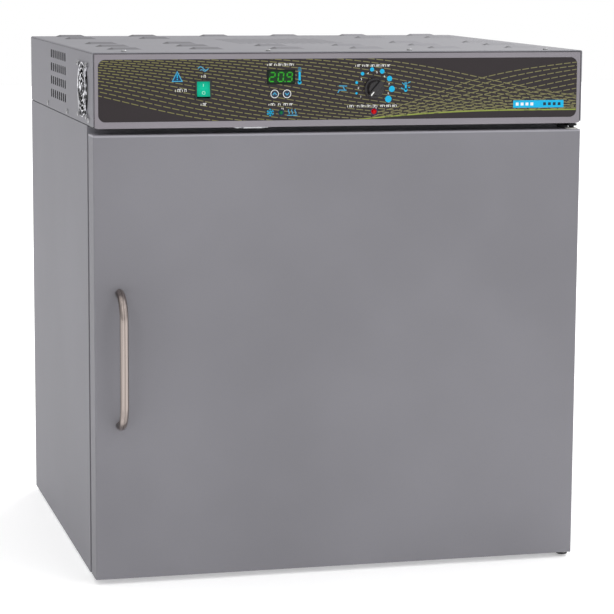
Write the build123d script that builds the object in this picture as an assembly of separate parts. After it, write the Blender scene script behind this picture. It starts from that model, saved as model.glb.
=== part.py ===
from build123d import *
from math import atan2, degrees
import os

# Bench laboratory incubator with thermoelectric heating and cooling: an insulated steel cabinet
# with a stainless chamber, one full-width door hinged on its right, and a control console on top.
# Millimetres. X runs to the right, Y from the door's front plane to the back, Z up from the floor.
# The parts are modelled with Y = 0 on the door's front plane, and save() moves them all so that
# the origin is at the centre of the footprint.

# ---------------------------------------------------------------- driving dimensions
width = 711.0
depth = 624.0              # door front plane to the outside of the rear covers
foot_height = 6.0
cabinet_height = 640.0     # insulated cabinet, without its feet
console_height = 103.0
sheet = 1.5                # painted steel
liner_sheet = 1.2          # stainless steel
door_thickness = 40.0
seal_gap = 12.0            # between the door's back and the cabinet's front
wall = 50.5                # side wall, outside to inside
chamber_height = 548.0
chamber_depth_end = 540.0  # the chamber's back wall
handle_reach = 42.0        # how far the handle stands out in front of the door
stopper_head = 8.0
port_flange = 2.0

# ---------------------------------------------------------------- places worked out from them
half = width / 2
inside = half - sheet
cabinet_z0 = foot_height
cabinet_z1 = foot_height + cabinet_height
console_z1 = cabinet_z1 + console_height
frame_y0 = door_thickness + seal_gap
frame_y1 = frame_y0 + sheet
chamber_half = half - wall
chamber_z0 = cabinet_z0 + 46.0
chamber_z1 = chamber_z0 + chamber_height
chamber_mid = (chamber_z0 + chamber_z1) / 2
back_y0 = 580.0
back_y1 = back_y0 + sheet
rear_y0 = depth - sheet
rearmost = depth + port_flange + stopper_head
centre_y = (rearmost - handle_reach) / 2

# door
door_z0 = cabinet_z0 + 1.5
door_z1 = 635.6
door_mid = (door_z0 + door_z1) / 2
door_flange = 20.0
door_liner_half = half - 14.0
door_liner_z0 = door_z0 + 14.0
door_liner_z1 = door_z1 - 14.0
door_liner_y = door_thickness + liner_sheet
hinge_x = half - 9.0
hinge_y = 15.0
pin_r = 4.0
bush_r = 7.0
handle_x = -320.0
handle_z = 322.5
handle_span = 187.0
handle_r = 6.0

# console
bezel_y = 5.0              # the bezel's lip and the console's floor begin here
bezel_z0 = cabinet_z1 - sheet
window_half = 348.0
window_z0 = 653.5
window_z1 = 739.2
window_r = 10.0
overlay_y = 0.4
plate_y0 = sheet
plate_y1 = 2 * sheet
base_z1 = cabinet_z1 + sheet
lid_z0 = console_z1 - sheet

# controls on the console's face, as (x, z)
switch_at = (-201.0, 697.0)
display_at = (-90.4, 713.9)
display_size = (40.6, 20.6)
button_at = {"button_up": (-99.6, 690.5), "button_down": (-81.9, 690.5)}
knob_at = (44.4, 697.3)
cooling_lamp_at = (-90.0, 664.5)
overtemp_lamp_at = (44.8, 664.5)
button_r = 6.2
lamp_r = 3.0
lamp_rim_r = 4.3

# fans, as (across, up) of the centre
side_fan_at = (76.5, 694.5)
side_fan_size = 80.0
side_fan_depth = 25.0
side_fan_bore = 37.0
big_fan_size = 120.0
big_fan_bore = 56.0
rear_fan_depth = 20.0
chamber_fan_depth = 25.0
fin_tip_y = rear_y0 - rear_fan_depth
duct_y0 = 484.0
duct_y1 = duct_y0 + liner_sheet
pedestal = 62.0
pedestal_hole = 64.0

# chamber furniture
standard_y = (110.0, 440.0)
standard_thick = 3.0
shelf_z = {"shelf_lower": 230.0, "shelf_upper": 412.0}
shelf_y0 = 75.0
shelf_y1 = 470.0
shelf_half = 297.0
stud_at = [(x, z) for x in (-285.0, 285.0) for z in (95.0, 557.0)]
port_at = (-220.0, 500.0)
port_r = 17.0
port_bore = 13.5

# screws
screw_r = 2.0
screw_hole = 2.15
big_screw_r = 2.5
big_screw_hole = 2.65
foot_at = [(x, y) for x in (-295.0, 295.0) for y in (90.0, 575.0)]
top_screw_x = (-308.0, -103.0, 103.0, 308.0)
top_screw_y = 25.0
side_screw_y = (31.5, 230.0, 430.0)
side_screw_z = cabinet_z1 + 8.0
rear_screw_z = (40.0, 180.0, 326.0, 470.0, 612.0)
rear_screw_x = half - 8.0
console_rear_screw_x = (-340.0, 0.0, 340.0)


# ---------------------------------------------------------------- helpers
def block(x, y, z):
    """A box from its low and high ends along each axis."""
    return Pos(sum(x) / 2, sum(y) / 2, sum(z) / 2) * Box(x[1] - x[0], y[1] - y[0], z[1] - z[0])


def disc(radius, axis, start, end, at):
    """A cylinder along an axis, from start to end, centred at the two other coordinates."""
    length = end - start
    middle = (start + end) / 2
    if axis == "x":
        return Pos(middle, *at) * Rot(0, 90, 0) * Cylinder(radius, length)
    if axis == "y":
        return Pos(at[0], middle, at[1]) * Rot(90, 0, 0) * Cylinder(radius, length)
    return Pos(*at, middle) * Cylinder(radius, length)


def panel_y(sketch, y0, y1):
    """A sketch drawn as (x, z), thick from y0 to y1."""
    return extrude(Plane.XZ.offset(-y0) * sketch, amount=y0 - y1)


def panel_x(sketch, x0, x1):
    """A sketch drawn as (y, z), thick from x0 to x1."""
    return extrude(Plane.YZ.offset(x0) * sketch, amount=x1 - x0)


def rounded(x, z, radius):
    """A rectangle from its low and high ends, with round corners."""
    return Pos(sum(x) / 2, sum(z) / 2) * RectangleRounded(x[1] - x[0], z[1] - z[0], radius)


def pair(value):
    return (-value, value)


def solids_of(shapes):
    """Every solid in a shape, or in a nested list of shapes."""
    if isinstance(shapes, (list, tuple)):
        return [s for shape in shapes for s in solids_of(shape)]
    return list(shapes.solids())


written = {}


def save(name, *shapes):
    """Writes one named part, moved so that the origin is the centre of the footprint."""
    moved = [Pos(0, -centre_y, 0) * s for s in solids_of(list(shapes))]
    whole = moved[0] if len(moved) == 1 else Compound(children=moved)
    written[name] = whole
    export_step(whole, f"parts/{name}.step")


def screw(radius=screw_r, head_r=3.6, head_height=2.3, length=8.0):
    """A pan head cross-recess screw along -Z, with its head's underside at the origin."""
    head = Pos(0, 0, head_height / 2) * Cylinder(head_r, head_height)
    head = fillet(head.edges().sort_by(Axis.Z)[-1], head_height * 0.6)
    recess_depth = head_height * 0.6
    recess = Pos(0, 0, head_height) * (
        Box(head_r * 1.1, head_r * 0.22, 2 * recess_depth)
        + Box(head_r * 0.22, head_r * 1.1, 2 * recess_depth)
    )
    return head - recess + Pos(0, 0, -length / 2) * Cylinder(radius, length)


# Turns a screw, whose head faces +Z, so that its head faces the named way.
facing = {
    "up": Rot(0, 0, 0),
    "down": Rot(180, 0, 0),
    "front": Rot(90, 0, 0),
    "back": Rot(-90, 0, 0),
    "left": Rot(0, -90, 0),
    "right": Rot(0, 90, 0),
}


# ---------------------------------------------------------------- cabinet
def side_panel():
    """The right-hand outer side, with the return flange that the rear cover screws to."""
    plate = block((inside, half), (frame_y0, depth), (cabinet_z0, cabinet_z1))
    flange = block((inside - 12, inside), (rear_y0 - sheet, rear_y0), (cabinet_z0 + 2, cabinet_z1 - 2))
    holes = [
        disc(screw_hole, "y", rear_y0 - 3, rear_y0 + 1, (rear_screw_x, z)) for z in rear_screw_z
    ]
    return plate + flange - holes


def foot_holes(z0, z1, radius):
    return [disc(radius, "z", z0, z1, at) for at in foot_at]


def lower_hinge_holes(z0, z1, radius):
    return [disc(radius, "z", z0, z1, (hinge_x - 8, y)) for y in (75.0, 105.0)]


def upper_hinge_holes(y0, y1, radius):
    return [disc(radius, "y", y0, y1, (hinge_x, z)) for z in (608.0, 628.0)]


def base_panel():
    plate = block(pair(inside), (frame_y0, rear_y0), (cabinet_z0, cabinet_z0 + sheet))
    z = (cabinet_z0 - 1, cabinet_z0 + sheet + 1)
    return plate - foot_holes(*z, big_screw_hole) - lower_hinge_holes(*z, big_screw_hole)


wiring_hole = (-250.0, 600.0)
wiring_hole_r = 14.0


def top_deck():
    plate = block(pair(inside), (frame_y0, rear_y0), (cabinet_z1 - sheet, cabinet_z1))
    return plate - disc(wiring_hole_r, "z", cabinet_z1 - 3, cabinet_z1 + 1, wiring_hole)


def chamber_face(grow=0.0, radius=12.0):
    """The chamber's cross-section, grown by a sheet's thickness on every side if asked."""
    return rounded(
        pair(chamber_half + grow), (chamber_z0 - grow, chamber_z1 + grow), radius + grow
    )


def front_frame():
    """The painted ring round the chamber's mouth, which the door's gasket seals against."""
    outline = rounded(pair(inside), (cabinet_z0 + sheet, cabinet_z1 - sheet), 0.5)
    ring = panel_y(outline - chamber_face(), frame_y0, frame_y1)
    return ring - upper_hinge_holes(frame_y0 - 1, frame_y1 + 1, big_screw_hole)


def through_back(y0, y1):
    """The openings that the cold block and the access port need in the chamber's back wall."""
    middle = (chamber_mid - pedestal_hole / 2, chamber_mid + pedestal_hole / 2)
    return [
        block(pair(pedestal_hole / 2), (y0, y1), middle),
        disc(port_r + 0.3, "y", y0, y1, port_at),
    ]


def chamber_liner():
    """The stainless box with coved corners, and the studs that hold the air duct's panel."""
    end = chamber_depth_end + liner_sheet
    shell = panel_y(chamber_face(liner_sheet), frame_y1, end)
    shell -= panel_y(chamber_face(), frame_y1, chamber_depth_end)
    shell -= through_back(chamber_depth_end - 1, end + 1)
    studs = [disc(5.0, "y", duct_y1, chamber_depth_end, at) for at in stud_at]
    bores = [disc(screw_hole, "y", duct_y1, duct_y1 + 12, at) for at in stud_at]
    return shell + studs - bores


def wall_insulation():
    """Five foam boards round the chamber's liner: floor, roof, left, right and back."""
    y = (frame_y1, back_y0)
    side_y = (frame_y1, chamber_depth_end + liner_sheet)
    low = (cabinet_z0 + sheet, chamber_z0 - liner_sheet)
    high = (chamber_z1 + liner_sheet, cabinet_z1 - sheet)
    cavity = panel_y(chamber_face(liner_sheet), *side_y)
    corner = 12.0 + liner_sheet
    middle = (low[1] + corner, high[0] - corner)
    edge = chamber_half + liner_sheet
    floor = block(pair(inside), y, (low[0], middle[0])) - cavity
    floor -= foot_holes(low[0], low[0] + 6.5, 3.0)
    floor -= lower_hinge_holes(low[0], low[0] + 6.5, 3.0)
    roof = block(pair(inside), y, (middle[1], high[1])) - cavity
    roof -= upper_hinge_holes(frame_y1, frame_y1 + 9, 3.0)
    back = block(pair(edge), (side_y[1], y[1]), middle)
    back -= through_back(side_y[1] - 1, y[1] + 1)
    right = block((edge, inside), y, middle)
    return [floor, roof, back, right, mirror(right, about=Plane.YZ)]


def inner_back_panel():
    """Closes the foam at the back; the heat sink's space is behind it."""
    plate = block(pair(inside), (back_y0, back_y1), (cabinet_z0 + sheet, cabinet_z1 - sheet))
    return plate - through_back(back_y0 - 1, back_y1 + 1)


def slot_row(xs, zs, length, height):
    """Round-ended slots at every x and z of two lists."""
    return [Pos(x, z) * SlotOverall(length, height) for x in xs for z in zs]


def rear_cover():
    """The sheet over the heat sink's space, with the fan's outlet and two fields of air slots."""
    outline = rounded(pair(inside), (cabinet_z0, cabinet_z1), 0.5)
    fan = Pos(0, chamber_mid) * Circle(big_fan_bore)
    fan_screws = [Pos(x, chamber_mid + z) * Circle(screw_hole) for x, z in guard_screws(big_fan_size)]
    port = Pos(*port_at) * Circle(port_r + 0.3)
    rows = [chamber_mid + 14.0 * (i - 4.5) for i in range(10)]
    slots = slot_row((-250.0, -195.0, 195.0, 250.0), rows, 42.0, 5.0)
    edge = [Pos(s * rear_screw_x, z) * Circle(screw_hole) for s in (-1, 1) for z in rear_screw_z]
    return panel_y(outline - [fan, port, *fan_screws, *slots, *edge], rear_y0, depth)


def rubber_feet():
    """Four round feet, each with a recess for the screw that holds it."""
    feet = []
    for at in foot_at:
        foot = Pos(*at, foot_height / 2) * Cylinder(20.0, foot_height)
        foot = chamfer(foot.edges().sort_by(Axis.Z)[0], 1.5)
        foot -= disc(7.0, "z", -1, 3, at)
        foot -= disc(big_screw_hole, "z", 2, foot_height + 1, at)
        feet.append(foot)
    return feet


# ---------------------------------------------------------------- chamber furniture
slot_pitch = 26.0
slots_per_standard = 20
standard_z0 = chamber_z0 + 12.0


def slot_centre(index):
    return standard_z0 + 14.0 + slot_pitch * index


def shelf_standards():
    """Four slotted strips on the chamber's side walls, which the shelf clips hook into."""
    strips = []
    for y in standard_y:
        top = slot_centre(slots_per_standard - 1) + 14.0
        outline = rounded((y - 8, y + 8), (standard_z0, top), 2.0)
        slots = [Pos(y, slot_centre(i)) * Rectangle(10.0, 4.0) for i in range(slots_per_standard)]
        strip = panel_x(outline - slots, chamber_half - standard_thick, chamber_half)
        strips += [strip, mirror(strip, about=Plane.YZ)]
    return strips


def shelf_level(shelf):
    """The height of the clips' ledges, which comes from the slot nearest to the wanted shelf."""
    index = round((shelf_z[shelf] - slot_centre(0)) / slot_pitch)
    return slot_centre(index) + 6.0


def shelf_clips():
    """Four bent clips for each shelf: a tongue in the standard's slot, a back and a ledge."""
    clips = []
    face = chamber_half - standard_thick
    for shelf in shelf_z:
        top = shelf_level(shelf)
        for y in standard_y:
            back = block((face - sheet, face), (y - 7, y + 7), (top - 10, top + 9))
            tongue = block((face, face + 2.4), (y - 4.5, y + 4.5), (top - 7.5, top - 4.5))
            ledge = block((face - 14, face - sheet), (y - 7, y + 7), (top - sheet, top))
            clip = back + tongue + ledge
            clips += [clip, mirror(clip, about=Plane.YZ)]
    return clips


wire_r = 1.5
rail_r = 3.0


def wire_shelf(shelf):
    """A welded wire shelf: a round rail bent to a rectangle, two stiffeners and the deck wires."""
    z = shelf_level(shelf) + 0.3 + rail_r
    x = pair(shelf_half - rail_r)
    y = (shelf_y0 + rail_r, shelf_y1 - rail_r)
    outline = Pos(0, sum(y) / 2, z) * RectangleRounded(x[1] - x[0], y[1] - y[0], 14.0)
    path = outline.wire()
    start = path.position_at(0)
    profile = Plane(origin=start, z_dir=path.tangent_at(0)) * Circle(rail_r)
    rail = sweep(profile, path=path)
    stiffeners = [
        disc(2.5, "x", x[0], x[1], (y[0] + (y[1] - y[0]) * share, z)) for share in (1 / 3, 2 / 3)
    ]
    count = 23
    pitch = (x[1] - x[0]) / (count + 1)
    deck_z = z + rail_r - 0.6
    wires = [
        disc(wire_r, "y", y[0] - 1, y[1] + 1, (x[0] + pitch * (i + 1), deck_z))
        for i in range(count)
    ]
    return rail + stiffeners + wires


def duct_panel():
    """The panel in front of the cold sink: a hole field before the fan, and outlets top and bottom."""
    outline = rounded(pair(chamber_half - 2), (chamber_z0 + 1, chamber_z1 - 1), 12.0)
    pitch = 10.0
    holes = []
    for row in range(-5, 6):
        for column in range(-6, 7):
            x = pitch * (column + 0.5 * (row % 2))
            z = pitch * 0.866 * row
            if x * x + z * z < 52.0**2:
                holes.append(Pos(x, chamber_mid + z) * Circle(2.6))
    outlets = slot_row(
        [50.0 * (i - 4.5) for i in range(10)], (chamber_z0 + 24, chamber_z1 - 24), 38.0, 7.0
    )
    fixings = [Pos(*at) * Circle(screw_hole) for at in stud_at]
    fixings += [Pos(*at) * Circle(probe_r + 0.2) for at in probe_at]
    fixings += [Pos(*port_at) * Circle(port_r + 0.3)]
    plate = panel_y(outline - [*holes, *outlets, *fixings], duct_y0, duct_y1)
    flange_z = (chamber_z0 + 14, chamber_z1 - 14)
    edge = chamber_half - 2
    flanges = [
        block(x, (duct_y1, chamber_depth_end - 0.3), flange_z)
        for x in ((-edge, -edge + liner_sheet), (edge - liner_sheet, edge))
    ]
    return plate + flanges


probe_at = [(150.0, 560.0), (172.0, 560.0)]
probe_r = 2.5


def temperature_probes():
    """The control sensor and the safety thermostat's bulb, each with a collar on the panel."""
    probes = []
    for at in probe_at:
        rod = disc(probe_r, "y", duct_y0 - 80, duct_y1 + 20, at)
        collar = disc(5.0, "y", duct_y0 - 4, duct_y0, at)
        probes.append(fillet(rod.edges().sort_by(Axis.Y)[0], 2.0) + collar)
    return probes


def finned(half_x, half_z, base, tip, fins):
    """A finned plate across the chamber's middle. Its fins stand from base[1] to tip."""
    z = (chamber_mid - half_z, chamber_mid + half_z)
    plate = block(pair(half_x), base, z)
    root = base[0] if tip < base[0] else base[1]
    ends = (min(root, tip), max(root, tip))
    step = (2 * half_x - 2) / (fins - 1)
    return plate + [
        block((-half_x + step * i, -half_x + step * i + 2), ends, z) for i in range(fins)
    ]


def cold_sink():
    """The chamber's finned sink, with the pedestal that reaches the module through the wall."""
    sink = finned(80, 80, (chamber_depth_end - 8, chamber_depth_end), duct_y1 + 26.8, 13)
    middle = (chamber_mid - pedestal / 2, chamber_mid + pedestal / 2)
    return sink + block(pair(pedestal / 2), (chamber_depth_end, back_y1 - 4), middle)


def peltier_module():
    middle = (chamber_mid - pedestal / 2, chamber_mid + pedestal / 2)
    return block(pair(pedestal / 2), (back_y1 - 4, back_y1), middle)


def hot_sink():
    return finned(100, 90, (back_y1, back_y1 + 6), fin_tip_y, 17)


def access_port_sleeve():
    """A plastic tube through the back wall, for probe leads, with a flange outside."""
    sleeve = disc(port_r, "y", duct_y0, depth, port_at)
    sleeve += disc(port_r + 6, "y", depth, depth + port_flange, port_at)
    return sleeve - disc(port_bore, "y", duct_y0 - 1, depth + port_flange + 1, port_at)


def port_stopper():
    """The soft stopper in the access port's outer end."""
    y = depth + port_flange
    plug = disc(port_bore - 0.3, "y", y - 34, y, port_at)
    plug = chamfer(plug.edges().sort_by(Axis.Y)[0], 2.0)
    head = disc(port_bore + 5, "y", y, y + stopper_head, port_at)
    head = fillet(head.edges().sort_by(Axis.Y)[-1], 2.5)
    return plug + head


# ---------------------------------------------------------------- fans
def guard_screws(size):
    """Where a square fan's screws are, from its centre."""
    spacing = {80.0: 71.5, 120.0: 105.0}[size] / 2
    return [(x, z) for x in pair(spacing) for z in pair(spacing)]


def fan(size, thickness, bore):
    """A square axial fan with its axis on Z, its front at Z = 0 and its body above: frame, rotor."""
    hub = bore * 0.4
    frame = Pos(0, 0, thickness / 2) * Box(size, size, thickness)
    frame = fillet(frame.edges().filter_by(Axis.Z), size * 0.05)
    frame -= Pos(0, 0, thickness / 2) * Cylinder(bore + 1, thickness + 2)
    frame -= [
        Pos(x, z, thickness / 2) * Cylinder(screw_hole, thickness + 2)
        for x, z in guard_screws(size)
    ]
    strut = 2.5
    struts = [
        Rot(0, 0, angle) * Pos(bore / 2 + 2, 0, thickness - strut / 2) * Box(bore + 4, 4, strut)
        for angle in (20, 110, 200, 290)
    ]
    motor = Pos(0, 0, thickness - strut / 2) * Cylinder(hub * 0.9, strut)
    frame += [*struts, motor]
    frame -= Pos(0, 0, thickness / 2) * Cylinder(spindle_r + 0.05, thickness + 2)

    height = thickness - strut - 3.0
    rotor = Pos(0, 0, 1.5 + height / 2) * Cylinder(hub, height)
    rotor = fillet(rotor.edges().sort_by(Axis.Z)[0], 1.5)
    reach = bore - 1.0 - hub
    blade = Rot(38, 0, 0) * Box(reach + 2, thickness * 0.72, 1.4)
    blades = [
        Rot(0, 0, 360 / 7 * i) * Pos(hub - 1 + reach / 2, 0, 1.5 + height / 2) * blade
        for i in range(7)
    ]
    reach_limit = Pos(0, 0, 1.5 + height / 2) * Cylinder(bore - 1, height)
    rotor += [b & reach_limit for b in blades]
    rotor += Pos(0, 0, thickness / 2) * Cylinder(spindle_r, thickness - 2)
    return frame, rotor


spindle_r = 2.0


def wire_guard(size, rings):
    """A round wire finger guard lying on Z = 0 and rising along Z: rings, spokes and four eyes."""
    wire = 0.9
    corner = guard_screws(size)[-1][0]
    guard = [Pos(0, 0, 2.6) * Torus(r, wire) for r in rings]
    spoke_z = 1.3
    for i, (x, z) in enumerate(guard_screws(size)):
        angle = degrees(atan2(z, x))
        length = corner * 2**0.5 - min(rings) - 3.2
        spoke = Pos(min(rings) + length / 2, 0, spoke_z) * Rot(0, 90, 0) * Cylinder(wire, length)
        eye = Pos(corner * 2**0.5, 0, spoke_z) * Torus(3.6, wire)
        guard += [Rot(0, 0, angle) * spoke, Rot(0, 0, angle) * eye]
    return guard[0].fuse(*guard[1:])


# Turns a fan or guard, which faces -Z or rises along +Z, on to its wall.
on_left_wall = Rot(0, 90, 0)
guard_on_left = Rot(0, -90, 0)
on_back_wall = Rot(90, 0, 0)
guard_on_back = Rot(-90, 0, 0)


# ---------------------------------------------------------------- hinges and catch
def hinge_holes(z0, z1):
    return disc(pin_r + 0.02, "z", z0, z1, (hinge_x, hinge_y))


def top_hinge_bracket():
    """A strap over the door's top corner, turned down and screwed to the front frame."""
    z = (640.0, 643.0)
    strap = block((hinge_x - 8, hinge_x + 8), (hinge_y, frame_y0), z)
    strap += disc(8.0, "z", *z, (hinge_x, hinge_y))
    strap += block((hinge_x - 8, hinge_x + 8), (frame_y0 - 2.5, frame_y0), (598.0, z[0]))
    return strap - hinge_holes(z[0] - 1, z[1] + 1) - upper_hinge_holes(40, 60, big_screw_hole)


def bottom_hinge_bracket():
    """A strap under the cabinet that carries the door's weight."""
    z = (cabinet_z0 - 3, cabinet_z0)
    strap = block((hinge_x - 8, hinge_x + 8), (hinge_y, 60), z)
    strap += block((hinge_x - 18, hinge_x + 8), (56, 120), z)
    strap += disc(8.0, "z", *z, (hinge_x, hinge_y))
    return strap - hinge_holes(0, 10) - lower_hinge_holes(0, 10, big_screw_hole)


pin_reach = 23.0


def hinge_pins():
    at = (hinge_x, hinge_y)
    upper = disc(pin_r, "z", door_z1 - pin_reach, 643.0, at) + disc(6.0, "z", 643.0, 644.2, at)
    lower = disc(pin_r, "z", cabinet_z0 - 3, door_z0 + pin_reach, at)
    return [upper, lower]


def hinge_bushes():
    """The plastic bushes in the door's top and bottom edges."""
    at = (hinge_x, hinge_y)
    upper = disc(bush_r, "z", door_z1 - pin_reach - 1, door_z1, at)
    upper += disc(9.0, "z", door_z1, door_z1 + 1.4, at)
    lower = disc(bush_r, "z", door_z0, door_z0 + pin_reach + 1, at)
    lower += disc(9.0, "z", cabinet_z0 + 0.2, door_z0, at)
    bores = [disc(pin_r + 0.05, "z", 0, 60, at), disc(pin_r + 0.05, "z", 600, 650, at)]
    return [upper - bores, lower - bores]


catch_x = -131.0
catch_screw_x = (catch_x - 18.2, catch_x + 18.2)
catch_y = 19.0


def catch_plate():
    """The plate under the console's lip that the door's top edge closes behind."""
    top = bezel_z0
    plate = block((catch_x - 24, catch_x + 24), (8, 30), (top - sheet, top))
    tab = block((catch_x - 13, catch_x + 13), (1, 8), (top - sheet, top))
    return plate + tab - catch_holes(screw_hole)


def catch_holes(radius):
    return [disc(radius, "z", 635, cabinet_z1 + 4, (x, catch_y)) for x in catch_screw_x]


# ---------------------------------------------------------------- door
def door_skin():
    """The painted pan: front, four edges and a return flange round the back."""
    box = block(pair(half), (0, door_thickness), (door_z0, door_z1))
    front = box.faces().sort_by(Axis.Y)[0]
    box = fillet(front.edges(), 2.5)
    inner = block(
        pair(half - sheet), (sheet, door_thickness - sheet), (door_z0 + sheet, door_z1 - sheet)
    )
    mouth = block(
        pair(half - door_flange),
        (door_thickness - 2 * sheet, door_thickness + 1),
        (door_z0 + door_flange, door_z1 - door_flange),
    )
    bushes = [
        disc(bush_r + 0.05, "z", door_z0 - 1, door_z0 + sheet + 1, (hinge_x, hinge_y)),
        disc(bush_r + 0.05, "z", door_z1 - sheet - 1, door_z1 + 1, (hinge_x, hinge_y)),
    ]
    handle = [disc(screw_hole, "y", -1, sheet + 1, (handle_x, z)) for z in handle_ends()]
    liner = [
        disc(screw_hole, "y", door_thickness - 3, door_thickness + 1, at) for at in liner_screw_at()
    ]
    return box - inner - mouth - bushes - handle - liner


def door_insulation():
    foam = block(
        pair(half - sheet), (sheet, door_thickness - sheet), (door_z0 + sheet, door_z1 - sheet)
    )
    pockets = [
        disc(bush_r + 0.1, "z", door_z0, door_z0 + pin_reach + 2, (hinge_x, hinge_y)),
        disc(bush_r + 0.1, "z", door_z1 - pin_reach - 2, door_z1, (hinge_x, hinge_y)),
    ]
    pockets += [disc(5.0, "y", sheet, 6, (handle_x, z)) for z in handle_ends()]
    pockets += [
        disc(3.0, "y", door_thickness - 9, door_thickness, at) for at in liner_screw_at()
    ]
    return foam - pockets


def liner_screw_at():
    """The door liner's screws, outside the gasket."""
    x = door_liner_half - 4.0
    z = (door_liner_z0 + 4.0, door_liner_z1 - 4.0)
    upright = [(s * x, door_mid + 180.0 * k) for s in (-1, 1) for k in (-1, 0, 1)]
    level = [(210.0 * k, v) for k in (-1, 0, 1) for v in z]
    return upright + level


def door_liner():
    """The stainless inner panel, raised inside the gasket."""
    flange = panel_y(
        rounded(pair(door_liner_half), (door_liner_z0, door_liner_z1), 6.0),
        door_thickness,
        door_liner_y,
    )
    raised = panel_y(
        rounded(pair(chamber_half - 15), (chamber_z0 + 14, chamber_z1 - 14), 14.0),
        door_liner_y,
        door_liner_y + 5.8,
    )
    raised = fillet(raised.faces().sort_by(Axis.Y)[-1].edges(), 2.5)
    hollow = panel_y(
        rounded(pair(chamber_half - 16.2), (chamber_z0 + 15.2, chamber_z1 - 15.2), 12.8),
        door_thickness,
        door_liner_y + 5.8 - liner_sheet,
    )
    holes = [
        disc(screw_hole, "y", door_thickness - 1, door_liner_y + 1, at) for at in liner_screw_at()
    ]
    return flange + raised - hollow - holes


def ring(x, z, band, radius, y0, y1):
    """A rounded rectangular ring, as wide as band, inside the given outline."""
    outer = rounded(x, z, radius)
    inner = rounded(
        (x[0] + band, x[1] - band), (z[0] + band, z[1] - band), max(radius - band, 2.0)
    )
    return panel_y(outer - inner, y0, y1)


gasket_half = half - 22.0
gasket_z = (door_z0 + 22.0, door_z1 - 22.0)


def door_gasket():
    """A flat base with a rounded bulb, all the way round."""
    base = ring(pair(gasket_half), gasket_z, 20.0, 12.0, door_liner_y, door_liner_y + 3)
    z = (gasket_z[0] + 3, gasket_z[1] - 3)
    bulb = ring(pair(gasket_half - 3), z, 14.0, 10.0, door_liner_y + 3, frame_y0 - 0.3)
    bulb = fillet(bulb.faces().sort_by(Axis.Y)[-1].edges(), 3.0)
    return base + bulb


def handle_ends():
    return (handle_z - handle_span / 2, handle_z + handle_span / 2)


def door_handle():
    """A round bar, straight in the middle, whose ends curve in a quarter circle to the door."""
    reach = handle_reach - handle_r
    low, high = handle_ends()
    path = FilletPolyline(
        (handle_x, 0, low),
        (handle_x, -reach, low),
        (handle_x, -reach, high),
        (handle_x, 0, high),
        radius=reach - 1,
    )
    bar = sweep(Plane(origin=path @ 0, z_dir=path % 0) * Circle(handle_r), path=path)
    bores = [disc(screw_r + 0.05, "y", -12, 1, (handle_x, z)) for z in handle_ends()]
    return bar - bores


def door_screws():
    """The two handle screws, inside the door, and those of the door's liner."""
    handle = [
        Pos(handle_x, sheet, z) * facing["back"] * screw(length=sheet + 10, head_r=4.0)
        for z in handle_ends()
    ]
    liner = [
        Pos(x, door_liner_y, z) * facing["back"] * screw(head_r=3.2, head_height=1.9, length=8)
        for x, z in liner_screw_at()
    ]
    return handle + liner


# ---------------------------------------------------------------- console
def console_base():
    """The console's floor, which also roofs the door's gap, with flanges for the cover's screws."""
    floor = block(pair(inside), (bezel_y, rear_y0), (cabinet_z1, base_z1))
    flanges = []
    for low, high in ((20.0, 35.5), (118.0, 610.0)):
        flange = block((inside - sheet, inside), (low, high), (base_z1, base_z1 + 14))
        flanges += [flange, mirror(flange, about=Plane.YZ)]
    holes = [disc(wiring_hole_r, "z", cabinet_z1 - 1, base_z1 + 1, wiring_hole)]
    holes += [
        disc(screw_hole, "x", *pair(half), (y, side_screw_z)) for y in side_screw_y
    ]
    return floor + flanges - holes - catch_holes(screw_hole)


cover_front_y = 0.6
cover_lift = 1.3
cover_seam = 2.3
louvre_length = 50.0
louvre_depth = 16.0
louvre_rise = 2.8
louvre_x = [118.0 * (i - 2.5) for i in range(6)]
louvre_y = (85.0, 185.0, 285.0, 485.0, 585.0)
vent_field_half = 84.0
vent_field_y = (290.0, 480.0)


def louvre(skin):
    """A hood that rises towards the back, with sloping ends. Skin takes a thickness off inside."""
    run = louvre_depth - 2
    slope = 8.0
    length = louvre_length - 4 * skin
    rise = louvre_rise - skin
    bottom = -3.0 if skin else -0.5
    back = louvre_depth + (2 if skin else 0)
    front = 3.2 * skin
    side = Polyline((front, bottom), (front, 0), (run, rise), (back, rise), (back, bottom), close=True)
    across = Polyline(
        (-length / 2, bottom),
        (-length / 2, 0),
        (-length / 2 + slope, rise),
        (length / 2 - slope, rise),
        (length / 2, 0),
        (length / 2, bottom),
        close=True,
    )
    along_x = extrude(Plane.YZ * make_face(side), amount=length, both=True)
    along_y = extrude(Plane.XZ * make_face(across), amount=2 * louvre_depth, both=True)
    return along_x & along_y


def louvre_places():
    """The louvres' places: six columns, less the middle two where the hole field is."""
    rows = [(x, y) for x in louvre_x for y in louvre_y]
    return [
        (x, y)
        for x, y in rows
        if abs(x) > vent_field_half or y < vent_field_y[0] - 60 or y > vent_field_y[1] + 60
    ]


def side_vents():
    """Four rows of eight upright slots, drawn as (y, z)."""
    return [
        Pos(254.0 + 20.0 * i, 671.5 + 20.0 * j) * RectangleRounded(10.4, 12.6, 2.6)
        for i in range(8)
        for j in range(4)
    ]


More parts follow.
